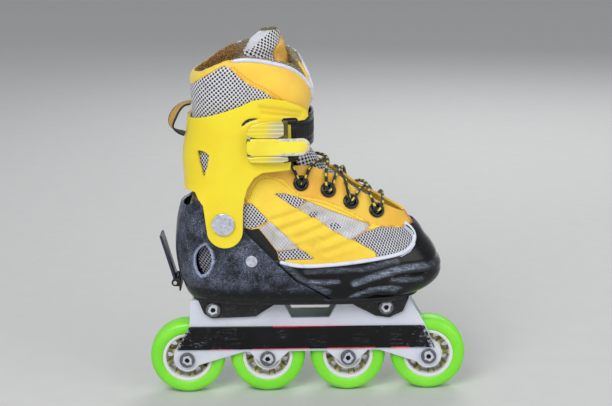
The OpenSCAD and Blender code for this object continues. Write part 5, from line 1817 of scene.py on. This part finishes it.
def swell(obj, held, most):
    """Blows a pad up by cloth simulation; held points stay, others move no further than most."""
    start = points_of(obj.data)
    group = obj.vertex_groups.new(name="held")
    for i in np.flatnonzero(held > 0.01):
        group.add([int(i)], float(held[i]), "REPLACE")
    cloth = modifier(obj, "CLOTH")
    for key, value in FOAM_CLOTH.items():
        setattr(cloth.settings, key, value)
    cloth.settings.effector_weights.gravity = 0
    scene = bpy.context.scene
    for step in range(1, CLOTH_FRAMES + 1):
        scene.frame_set(step)
    blown = baked(obj)
    move = points_of(blown) - start
    length = np.linalg.norm(move, axis=1)[:, None]
    move *= np.minimum(1, most / np.maximum(length, 1e-9)) * (1 - held)[:, None]
    obj.modifiers.remove(cloth)
    bpy.data.meshes.remove(blown)
    put_points(obj.data, start + move)
    scene.frame_set(1)
    obj.vertex_groups.clear()
    return float(length.max())


def pad(name, node, held, shrink, most):
    """A swollen pad ready to be dressed. held(points) says how firmly each point is held, 0 to 1."""
    obj = pad_start(name, node, shrink)
    moved = swell(obj, held(points_of(obj.data)), most)
    print(name, "swelled by up to", round(moved / MM, 1), "mm before the cap of", round(most / MM, 1))
    modifier(obj, "SUBSURF", levels=1, render_levels=1)
    settled(obj).shade_smooth()
    return obj


print("padding helpers ready")

# %% Collar cloths
COLLAR_NET = mm([[-112, 206], [-105.9, 206.5], [-95.7, 214.6], [-85.2, 221.2], [-70.5, 229.4], [-66.2, 226.7],
                 [-58.5, 218.8], [-47.9, 210.3], [-36.3, 205.2], [-20.9, 193.9], [-16, 188], [-30, 176], [-112, 150],
                 [-125, 160], [-125, 206]])
COLLAR_FRONT = mm([[-66, 232], [-64.5, 227.4], [-57.2, 219.6], [-46.6, 211.2], [-35.2, 206], [-19.8, 194.7],
                   [-14, 187], [0, 170], [30, 170], [30, 250], [-66, 250]])


def fleece_colour(f):
    """Olive pile in front, orange brown towards the heel, in pale and dark tufts."""
    tip = f.patches(0.34, 0.68, 900, 5, 0.8)
    olive = f.blend(tip, (88, 78, 40), (218, 205, 164))
    warm = f.blend(tip, (92, 54, 12), (222, 160, 66))
    return f.blend(f.rise(f.axis("X"), -52, -72), olive, warm)


def fleece_finish():
    """The pile of the lining, seen tuft by tuft."""
    f = Finish("fleece")
    return f.done(Base_Color=fleece_colour(f), Roughness=0.95, Sheen_Weight=0.3)


def fleeced(name, obj, wanted, body, length):
    """Tufts on the wanted faces of a pad."""
    at = points_of(obj.data)
    faces = [p.vertices[:] for p in obj.data.polygons if wanted[list(p.vertices)].all()]
    tufts = grown(name, at, [], faces, FLEECE, {"Length": length, "Finish": FLEECE_PILE})
    return mount(tufts, body, slot="lining")


def collar_finish():
    """Orange leather in front, net behind, a yellow band over it and fleece inside and over the rim."""
    f = Finish("collar cloths")
    inner = f.measure("inner") + (f.noise(420, 4) - 0.5) * 0.22
    edge = 0.15 * MM
    is_net = f.step(f.measure("net"), -edge, edge)
    is_front = f.step(f.measure("front"), -edge, edge)
    is_fleece = f.step(inner, -0.06, 0.10)
    tone = f.patches(0.3, 0.75, 20, 4)
    leather = f.blend(tone, (255, 216, 66), (250, 190, 56))
    band = f.blend(tone, (250, 226, 70), (236, 196, 52))
    net_colour, net_height = net_looks(f, (230, 230, 238), (14, 14, 22), 2.7 * MM, 0.78)
    colour = f.blend(is_front, band, leather)
    colour = f.blend(is_net, colour, net_colour)
    # Painted shade along the seams.
    seam = f.rise(f.measure("seam"), 1.0, 0.1)
    colour = f.blend(seam * 0.7, colour, (214, 132, 40))
    tuft = f.noise(900, 5, 0.8)
    colour = f.blend(is_fleece, colour, fleece_colour(f))
    rough = f.step(is_fleece, 0, 1, 0.5, 0.95)
    cloth = f.noise(340, 5, 0.6) * f.step(is_net, 0, 1, 0.25, 0.0)
    height = cloth + is_fleece * (tuft * 4.0)
    height = height + is_net * net_height
    return f.done(Base_Color=colour, Roughness=rough, Sheen_Weight=0.25, Sheen_Roughness=0.6,
                  Normal=f.bump(height, 0.0005))


COLLAR_CLOTH, FLEECE_PILE = collar_finish(), fleece_finish()
print("collar cloths ready")

# %% Collar
HELD_TO, RIM_FROM = 181 * MM, 198 * MM
LEG_CENTRE, LEG_R = -38 * MM, 50 * MM
FAR_RISE = mm([[-100, 0], [-80, 3], [-62, 5], [-45, 6], [-25, 8], [-7, 9], [6, 4], [13, 0]])
TRIM_LINE = mm([[-64, 233.6], [-50.3, 234.2], [-30.9, 231], [-11.5, 224], [1.4, 213.6], [8, 202.6], [9.2, 192.9],
                [7.0, 183]])
PAST_TRIM = np.vstack([smooth_line(TRIM_LINE), mm([[30, 183], [30, 270], [-64, 270]])])


def collar_held(at):
    """Firm where the cuff and strap press on the collar, free above them."""
    return 1 - smooth_step(at[:, 2] - SOLE, HELD_TO, HELD_TO + 12 * MM)


def collar_inner(mesh):
    """How far each point faces the leg: 1 for the lining, -1 for the outside."""
    at, out = points_of(mesh), normals_of(mesh)
    heel, toe = COLLAR.slice(at[:, 2] - SOLE)[:, :2].T
    away = np.column_stack([(at[:, 0] - (heel + toe) / 2) / (toe - heel), at[:, 1] / (2 * COLLAR_HALF * MM)])
    return eased(mesh, -(out[:, :2] * unit(away, 1e-9)).sum(1))


def wrapped(at):
    """Places on a cylinder round the leg, so that the net runs on unbroken at the back."""
    turn = np.arctan2(at[:, 1], at[:, 0] - LEG_CENTRE)
    return np.column_stack([LEG_R * turn, at[:, 2]])


def risen(at):
    """The far half of the rim stands higher, as the padding has been pushed up there."""
    share = rise(at[:, 1], 0, 25) * rise(at[:, 2] - SOLE, 194, 224)
    return at + np.outer(np.interp(at[:, 0], *FAR_RISE.T) * share, [0.15, 0, 1])


collar = pad("collar_padded", "collar", collar_held, -0.2 * MM, 2.4 * MM)
flat, _ = flat_of(collar, COLLAR, 0)
at = points_of(collar.data)
collar.data.materials.clear()
collar.data.materials.append(COLLAR_CLOTH)
lay_flat(collar.data, wrapped(at))
net, front = (depth_in(flat, COLLAR.unroll(dense(rounded(dense(loop, 6 * MM), 1), 2 * MM), 0))
              for loop in (COLLAR_NET, COLLAR_FRONT))
seam = np.minimum(np.abs(net), np.abs(front))
facing = collar_inner(collar.data)
past = depth_in(at[:, [0, 2]] - [0, SOLE], dense(PAST_TRIM, 2 * MM))
fleecy = np.maximum(facing, past / (4 * MM))
measure_on(collar, net=net, front=front, inner=fleecy, seam=seam)
pull = 0.9 * MM * bell(seam, 1.8) * (facing < -0.3)
put_points(collar.data, risen(at - normals_of(collar.data) * pull[:, None]))
mount(collar, **stands_for("collar", "orange_leather"))
rim = (fleecy > 0.1) & (points_of(collar.data)[:, 2] > SOLE + RIM_FROM)
tufts = fleeced("collar_fleece", collar, rim, "collar", 2.4 * MM)
print("collar", len(collar.data.vertices), "points, fleece", len(tufts.data.polygons), "faces")

# %% Collar trim
def seated(obj, line, lift):
    """A line laid on an object's surface, lifted off it."""
    tree = BVHTree.FromObject(obj, bpy.context.evaluated_depsgraph_get())
    out = []
    for p in line:
        spot, normal, _, _ = tree.find_nearest(Vector(p))
        out.append(np.array(spot) + np.array(normal) * lift)
    return smooth_line(np.array(out), 1)


SILVER = coated("silver trim", (222, 227, 242), (150, 150, 156), (0.5, 0.75, 160, 5, 0.65), (900, 3, 0.0001),
                Roughness=0.4, Metallic=0.15)
TRIM_R = 1.9 * MM
trims = []
for line in on_last(COLLAR, TRIM_LINE, 0):
    path = seated(collar, risen(line), 0.4 * MM)
    radius = tapered(path, TRIM_R, [0, 0.03, 0.97, 1], [0.4, 1, 1, 0.6])
    trims.append(piece("trim", *tube(path, radius)[:2], SILVER))
as_one("collar_trim", trims, "collar", slot="silver_trim")
FRONT_SEAM = mm([[-61.5, 226.6], [-55, 220.8], [-45, 213], [-34, 208], [-18.6, 197], [-10.5, 187]])
rows = [seated(collar, risen(line), 0.25 * MM) for line in on_last(COLLAR, FRONT_SEAM, 0)]
sewn("collar_stitches", rows, "collar", 3.0 * MM, 2.2 * MM, 0.4 * MM)
print("collar trim and", len(rows), "seams")

# %% [markdown]
# ## Tongue
# The tongue is a long thin pad that twists at its top and leans into the leg. A remesh would eat its thin edges, so
# it is drawn as rows across a path: a puffed face, a flat back and a rounded edge. The place along and across each
# row tells the finish where the silver border, the net and the orange corner lie.

# %% Tongue finish
def tongue_finish():
    """Net with a silver border, an orange corner at the top and fleece behind."""
    f = Finish("tongue cloths")
    is_silver = f.step(f.measure("silver"), -0.02, 0.02)
    is_orange = f.step(f.measure("orange"), -0.02, 0.02)
    frayed = (f.noise(500, 4) - 0.5) * 0.5
    is_fleece = f.step(f.measure("inner") + frayed, -0.06, 0.10)
    net_colour, net_height = net_looks(f, (224, 224, 230), (12, 12, 14), 2.9 * MM, 0.35)
    tone = f.patches(0.3, 0.7, 40, 4)
    colour = f.blend(is_orange, net_colour, f.blend(tone, (252, 206, 80), (240, 170, 54)))
    colour = f.blend(is_silver, colour, f.blend(tone, (222, 224, 236), (190, 190, 196)))
    # Painted shade along the seam at the orange corner.
    seam = f.step(abs(f.measure("orange")), 0.08, 0.0) * 0.7
    colour = f.blend(seam, colour, (176, 100, 30))
    tuft = f.noise(900, 5, 0.8)
    fleece = f.blend(f.step(tuft, 0.3, 0.7), (40, 36, 18), (150, 138, 88))
    colour = f.blend(is_fleece, colour, fleece)
    return f.done(Base_Color=colour, Roughness=0.8, Sheen_Weight=0.2,
                  Normal=f.bump(is_fleece * tuft, 0.0012, under=f.bump(net_height, 0.0004)))


TONGUE_CLOTH = tongue_finish()
print("tongue cloths ready")

# %% Tongue
TONGUE = np.array([
    [88, 76, 10, 0.034, 0], [76, 86, 15, 0.034, 0], [62, 95.5, 19, 0.034, 0], [44, 106.5, 22, 0.034, 0],
    [29, 118.5, 23, 0.034, 0], [17, 130.5, 23, 0.030, 0], [6, 144, 24, 0.026, 0], [-3, 158, 25, 0.023, 0],
    [-9, 172, 26, 0.021, 0], [-13, 187, 26, 0.020, 2], [-17.5, 205, 26, 0.020, 10], [-21, 222, 24, 0.020, 26],
    [-28.6, 231, 23, 0.019, 41], [-27, 240, 25.5, 0.018, 51], [-30, 250, 17.6, 0.018, 56],
    [-29.8, 257.5, 7, 0.018, 58]])
TONGUE_WALL, TONGUE_PUFF = 6.4, 0.27
TONGUE_ACROSS, TONGUE_STEP = 25, 2.2
FLARE = np.array([[217, 0], [223, 0.9], [230, 1], [236, 0.4], [242, -0.2], [248, -0.2], [254, 0]])


def tongue_row(row, down, across, thick):
    """Points of one row: across from -1 to 1, thick from the face inwards, all in millimetres."""
    x, h, half, arch, turn = row
    spread = float(np.interp(h, *FLARE.T)) * np.maximum(across, 0)
    y = half * across + 7 * spread
    drop = arch * y ** 2 * (1 - 0.75 * np.maximum(spread, 0)) + thick
    back, centre = down[0] * drop, arch * half ** 2
    c, s = math.cos(math.radians(turn)), math.sin(math.radians(turn))
    return np.column_stack([x + back * c + y * s, y * c - (back + centre) * s, h + down[1] * drop])


def build_tongue():
    """Rows of the face and the back along the path, closed at the edges and ends."""
    count = TONGUE_ACROSS
    run = run_of(TONGUE[:, :2])
    at = np.linspace(0, run[-1], int(run[-1] / TONGUE_STEP))
    rows = np.column_stack([np.interp(at, run, TONGUE[:, k]) for k in range(5)])
    for _ in range(3):
        rows[1:-1] = 0.25 * rows[:-2] + 0.5 * rows[1:-1] + 0.25 * rows[2:]
    ahead = unit(np.gradient(rows[:, :2], axis=0))
    face = np.sin(np.linspace(-1, 1, count) * np.pi / 2)
    ring = np.r_[face, 0.97 * face[::-1]]
    is_back = np.r_[np.zeros(count), np.ones(count)]
    full = np.interp(at, [0, 6, run[-1] - 9, run[-1]], [0.45, 1, 1, 0.3])
    free = smooth_step(rows[:, 1], 186, 206)
    verts, uv, zone = [], [], []
    for row, d, s, k, puff in zip(rows, ahead, at, full, free):
        down = np.array([-d[1], d[0]])
        wall = TONGUE_WALL * k * (1 - 0.6 * np.abs(ring) ** 4)
        folds = puff * 0.35 * np.sin(ring * 7 + s / 5) * (1 - ring ** 2)
        outer = 0.5 * wall * np.abs(ring) ** 6 + 0.6 - 0.2 * puff - TONGUE_PUFF * puff * (1 - ring ** 2) - folds
        thick = np.where(is_back > 0, wall * (1 - 0.5 * np.abs(ring) ** 6), np.maximum(outer, 0.05))
        verts.append(tongue_row(row, down, ring, thick))
        uv.append(np.column_stack([row[2] * ring, np.full(len(ring), s)]))
        zone.append(np.column_stack([ring, np.full(len(ring), row[1]), is_back]))
    size = len(ring)
    faces = band_faces(len(rows), size)
    for start in (0, (len(rows) - 1) * size):
        faces += [(start + k, start + k + 1, start + size - 2 - k, start + size - 1 - k) for k in range(count - 1)]
    at = np.vstack(verts) * MM + [0, 0, SOLE]
    obj = piece("tongue_padded", at, faces, TONGUE_CLOTH, np.vstack(uv) * MM, **stands_for("tongue", "mesh_textile"))
    return outward(obj), *np.vstack(zone).T


CLOTHS_FROM, BACK_FROM, TIP_FROM = 200, 228, 253
tongue, across, h, is_back = build_tongue()
orange_from = np.interp(h, [231, 236, 240, 245, 250, 254], [0.04, 0.04, 0.15, 0.5, 0.9, 1.2])
silver_to = np.interp(h, [228, 240, 248.5, 254, 258], [-1.2, -0.84, -0.5, 0.1, 1.0])
measure_on(tongue, orange=np.where(h > CLOTHS_FROM, across - orange_from, -1),
           silver=np.where(h > CLOTHS_FROM, silver_to - across, -1),
           inner=np.maximum(is_back - 0.5, np.interp(h, [250, 254, 257], [-1, -0.2, 0.5])))
seam_h = np.arange(232, 250, 1.5)
seam_across = np.interp(seam_h, [231, 236, 240, 245, 250], [0.1, 0.1, 0.2, 0.55, 0.94]) - 0.01
face = is_back == 0
at = points_of(tongue.data)[face]
stitch = [at[np.argmin((across[face] - w) ** 2 * 400 + (h[face] - z) ** 2)] for w, z in zip(seam_across, seam_h)]
sewn("tongue_stitches", [seated(tongue, smooth_line(stitch, 1), 0.2 * MM)], "tongue", 2.8 * MM, 2.0 * MM,
     0.35 * MM)
fleeced("tongue_fleece", tongue, (h > TIP_FROM) | ((is_back > 0) & (h > BACK_FROM)), "tongue", 2.2 * MM)
print("tongue", len(tongue.data.vertices), "points")

# %% [markdown]
# ## Pull loop, lining and footbed
# Webbing is woven flat and keeps its width, so the loop is a ribbon along its path. The heel lining and the footbed
# hardly show, but they are what one sees on looking down into the boot: a quilted cloth and a foam sole.

# %% Pull loop
def webbing_finish():
    """Ribbed webbing: yellow with black edges."""
    f = Finish("yellow webbing")
    along, across = f.axis("X", f.flat()), f.axis("Y", f.flat())
    weave = f.sine(along * (2 * math.pi / (1.4 * MM))) + f.sine(across * (2 * math.pi / (1.1 * MM)))
    yellow = f.blend(f.step(weave, -1.2, 1.2), (222, 150, 36), (252, 206, 62))
    edge = f.rise(abs(across), 6.6, 6.9)
    black = f.most(edge, f.step(f.measure("lining"), 0.4, 0.6))
    return f.done(Base_Color=f.blend(black, yellow, (16, 15, 16)), Roughness=0.7, Sheen_Weight=0.2,
                  Normal=f.bump(weave, 0.0003))


def ribbon(name, path, wide, thick, material, twist, **where):
    """A flat band with rounded edges along a path of x and z, twisted most in its middle."""
    path = smooth_line(path, 3)
    ahead = unit(np.gradient(path, axis=0))
    out = np.column_stack([ahead[:, 1], -ahead[:, 0]])
    run = run_of(path)
    edge, face, soft = wide / 2, thick / 2, 0.35 * thick
    ring = [(-edge, soft), (-edge + soft, face), (0, face + 0.1 * MM), (edge - soft, face), (edge, soft),
            (edge, -soft), (edge - soft, -face), (0, -face), (-edge + soft, -face), (-edge, -soft)]
    verts, uv, lining = [], [], []
    for p, o, r in zip(path, out, run):
        turn = twist * math.sin(math.pi * r / run[-1]) ** 2
        c, s = math.cos(turn), math.sin(turn)
        for y, lift in ring:
            off = lift * c + y * s
            verts.append((p[0] + o[0] * off, y * c - lift * s, p[1] + o[1] * off))
            uv.append((r, y))
            lining.append(1.0 if lift < 0 else 0.0)
    obj = piece(name, verts, capped_faces(len(path), len(ring)), material, uv, **where)
    measure_on(obj, lining=lining)
    return outward(obj)


LOOP_TWIST, LOOP_THICK = math.radians(22), 1.6 * MM
LOOP_PATH = mm([[-105.2, 188], [-112, 187], [-119, 181], [-124.6, 171], [-124, 164.5], [-118, 160.5],
                [-111.6, 158.6]])
loop = ribbon("loop_webbing", LOOP_PATH + [0, SOLE], 2 * half("pull_loop")[1], LOOP_THICK, webbing_finish(),
              LOOP_TWIST, **stands_for("pull_loop", "webbing"))
print("pull loop", len(loop.data.vertices), "points")

# %% Linings
def lining_finish(name, dark, pale, pitch):
    """Brushed cloth quilted in small diamonds."""
    f = Finish(name)
    k = 2 * math.pi / pitch
    p = f.mapped(f.place(), (k, k, k), (0, 0.78, 0))
    quilt = f.sine(f.axis("X", p)) * f.sine(f.axis("Z", p))
    tuft = f.noise(800, 5, 0.75)
    colour = f.blend(f.step(quilt + tuft, 0.0, 1.2), dark, pale)
    return f.done(Base_Color=colour, Roughness=0.95, Sheen_Weight=0.3,
                  Normal=f.bump(quilt + tuft * 0.6, 0.0006))


def quilted(flat, _):
    """Small cushions all over."""
    return 0.25 * MM * np.sin(flat[:, 0] / (2.6 * MM)) * np.sin(flat[:, 1] / (2.6 * MM))


LINING = lining_finish("heel lining", (58, 56, 34), (128, 122, 82), 9 * MM)
FOAM = lining_finish("footbed foam", (46, 46, 48), (92, 92, 94), 5 * MM)
LINER_DEPTH, LINER_WALL, CLOTH_WALL = mm([9.6, 2.4, 0.5])
VAMP_LINING = mm([[-74, 63], [-44, 53], [30, 52], [60, 56], [58, 88], [30, 112], [4, 124], [-14, 127], [-40, 126],
                  [-60, 118], [-74, 100]])
liner_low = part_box("heel_liner")[0].z - SOLE
HEEL_LINING = np.vstack([[[-130 * MM, liner_low], [-46 * MM, liner_low]],
                         mm([[-58, 60], [-66, 100], [-80, 109], [-130, 111]])])
liner = panel("heel_lining", BOOT, LINER_DEPTH, HEEL_LINING, LINING, relief=quilted,
              **stands_for("heel_liner", "lining"))
thicken(liner, LINER_WALL, 0.6 * MM)
inner = panel("upper_lining", BOOT, VAMP_DEPTH + VAMP_WALL + 0.2 * MM, VAMP_LINING, LINING, body="vamp",
              slot="lining")
thicken(inner, CLOTH_WALL)
print("linings in place")

# %% Footbed
BED_H, BED_DEPTH, BED_WALL, BED_DISH = mm([10, 7.9, 2.4, 0.9])
bed_low, bed_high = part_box("footbed")
angle = np.linspace(0, 2 * np.pi, 120, endpoint=False)
near = angle < np.pi
bed_rim = BOOT.rim(np.where(near, angle, 2 * np.pi - angle), np.full(len(angle), BED_H), BED_DEPTH)[:, :2]
bed_rim[:, 1] *= np.where(near, 1, -1)
bed_rim[:, 0] = np.clip(bed_rim[:, 0], bed_low.x, bed_high.x)
flat, tris = fill([bed_rim], 4 * MM)
dish = BED_DISH * rise(depth_in(flat, bed_rim), 3, 16)
bed = piece("footbed_foam", np.column_stack([flat, bed_high.z - dish]), tris, FOAM, flat,
            **stands_for("footbed", "lining"))
if np.mean([p.normal.z for p in bed.data.polygons]) < 0:
    bed.data.flip_normals()
thicken(bed, BED_WALL)
print("footbed", len(bed.data.vertices), "points")

# %% [markdown]
# ## Small metal and the pieces that stay as they are
# Bolts, bearings and the heel lever have the right shape in the frame. Those that show get softened copies, and the
# ones inside the wheels keep their solids and only take a finish. The buckle's pin and rivets are plain tubes.

# %% Fasteners and heel lever
def off_axis(mesh):
    """Distance of each point from the axis of its own bolt, which runs along Y."""
    group = np.arange(len(mesh.vertices))
    ends = np.array([e.vertices[:] for e in mesh.edges])
    while True:
        least = group.copy()
        np.minimum.at(least, ends[:, 0], group[ends[:, 1]])
        np.minimum.at(least, ends[:, 1], group[ends[:, 0]])
        if (least == group).all():
            break
        group = least
    at = points_of(mesh)[:, [0, 2]]
    out = np.zeros(len(at))
    for name in np.unique(group):
        own = at[group == name]
        out[group == name] = np.linalg.norm(own - (own.min(0) + own.max(0)) / 2, axis=1)
    return out


for name, node, material, rim, slot in (
        ("axle_heads", "axle_screws", BOLT, 0.45 * MM, "steel"),
        ("axle_sleeves", "axle_barrels", STEEL, 0.35 * MM, "steel"),
        ("mount_heads", "mount_bolts", BOLT, 0.6 * MM, "steel"),
        ("mount_tees", "mount_nuts", STEEL, 0.5 * MM, "steel"),
        ("heel_lever", "size_lever", BLUE_PLASTIC, 0.5 * MM, "dark_blue_plastic"),
        ("heel_bracket", "size_bracket", BLACK_PLASTIC, 0.4 * MM, "black_plastic"),
        ("heel_pin", "size_lever_pin", PALE_PLASTIC, 0.4 * MM, "pale_plastic")):
    made = fair(name, node, material, rim, slot)
    if material == BOLT:
        measure_on(made, off_axis=off_axis(made.data))
print("fasteners and heel lever softened")

# %% Buckle pin and rivets
PIN_R, RIVET_R = 1.5 * MM, half("buckle_rivets")[0]
pin_y = centre("buckle_pin")[1]
pin_axis = np.array([[PIN_X, pin_y, z] for z in np.linspace(pin_low.z + 1.5 * MM, pin_high.z - 7 * MM, 8)])
outward(piece("lever_pin", *tube(pin_axis, PIN_R, 16)[:2], STEEL, **stands_for("buckle_pin", "steel")))
rivet_low, rivet_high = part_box("buckle_rivets")
shanks = []
for z in (rivet_low.z + RIVET_R, rivet_high.z - RIVET_R):
    axis = [[rivet_low.x + RIVET_R, y, z] for y in np.linspace(rivet_low.y + 1.2 * MM, rivet_high.y, 5)]
    shanks.append(piece("shank", *tube(np.array(axis), RIVET_R, 16)[:2], STEEL))
as_one("base_rivets", shanks, **stands_for("buckle_rivets", "steel"))
print("buckle pin and", len(shanks), "rivets")

# %% Inner pieces that keep their solids
INSIDE = {"size_latch": BLACK_PLASTIC, "size_rack": BLACK_PLASTIC, "cuff_bushes": PALE_PLASTIC,
          "bearing_inner_rings": DARK_STEEL, "bearing_spacers": STEEL}
for wheel in range(1, WHEELS + 1):
    INSIDE[f"bearing_outer_rings_{wheel}"] = DARK_STEEL
    INSIDE[f"bearing_balls_{wheel}"] = STEEL
    INSIDE[f"bearing_shields_{wheel}"] = DARK_STEEL
for node, material in INSIDE.items():
    for place in frame["nodes"][node].material_slots:
        place.material = material
print(len(INSIDE), "inner pieces keep their solids")
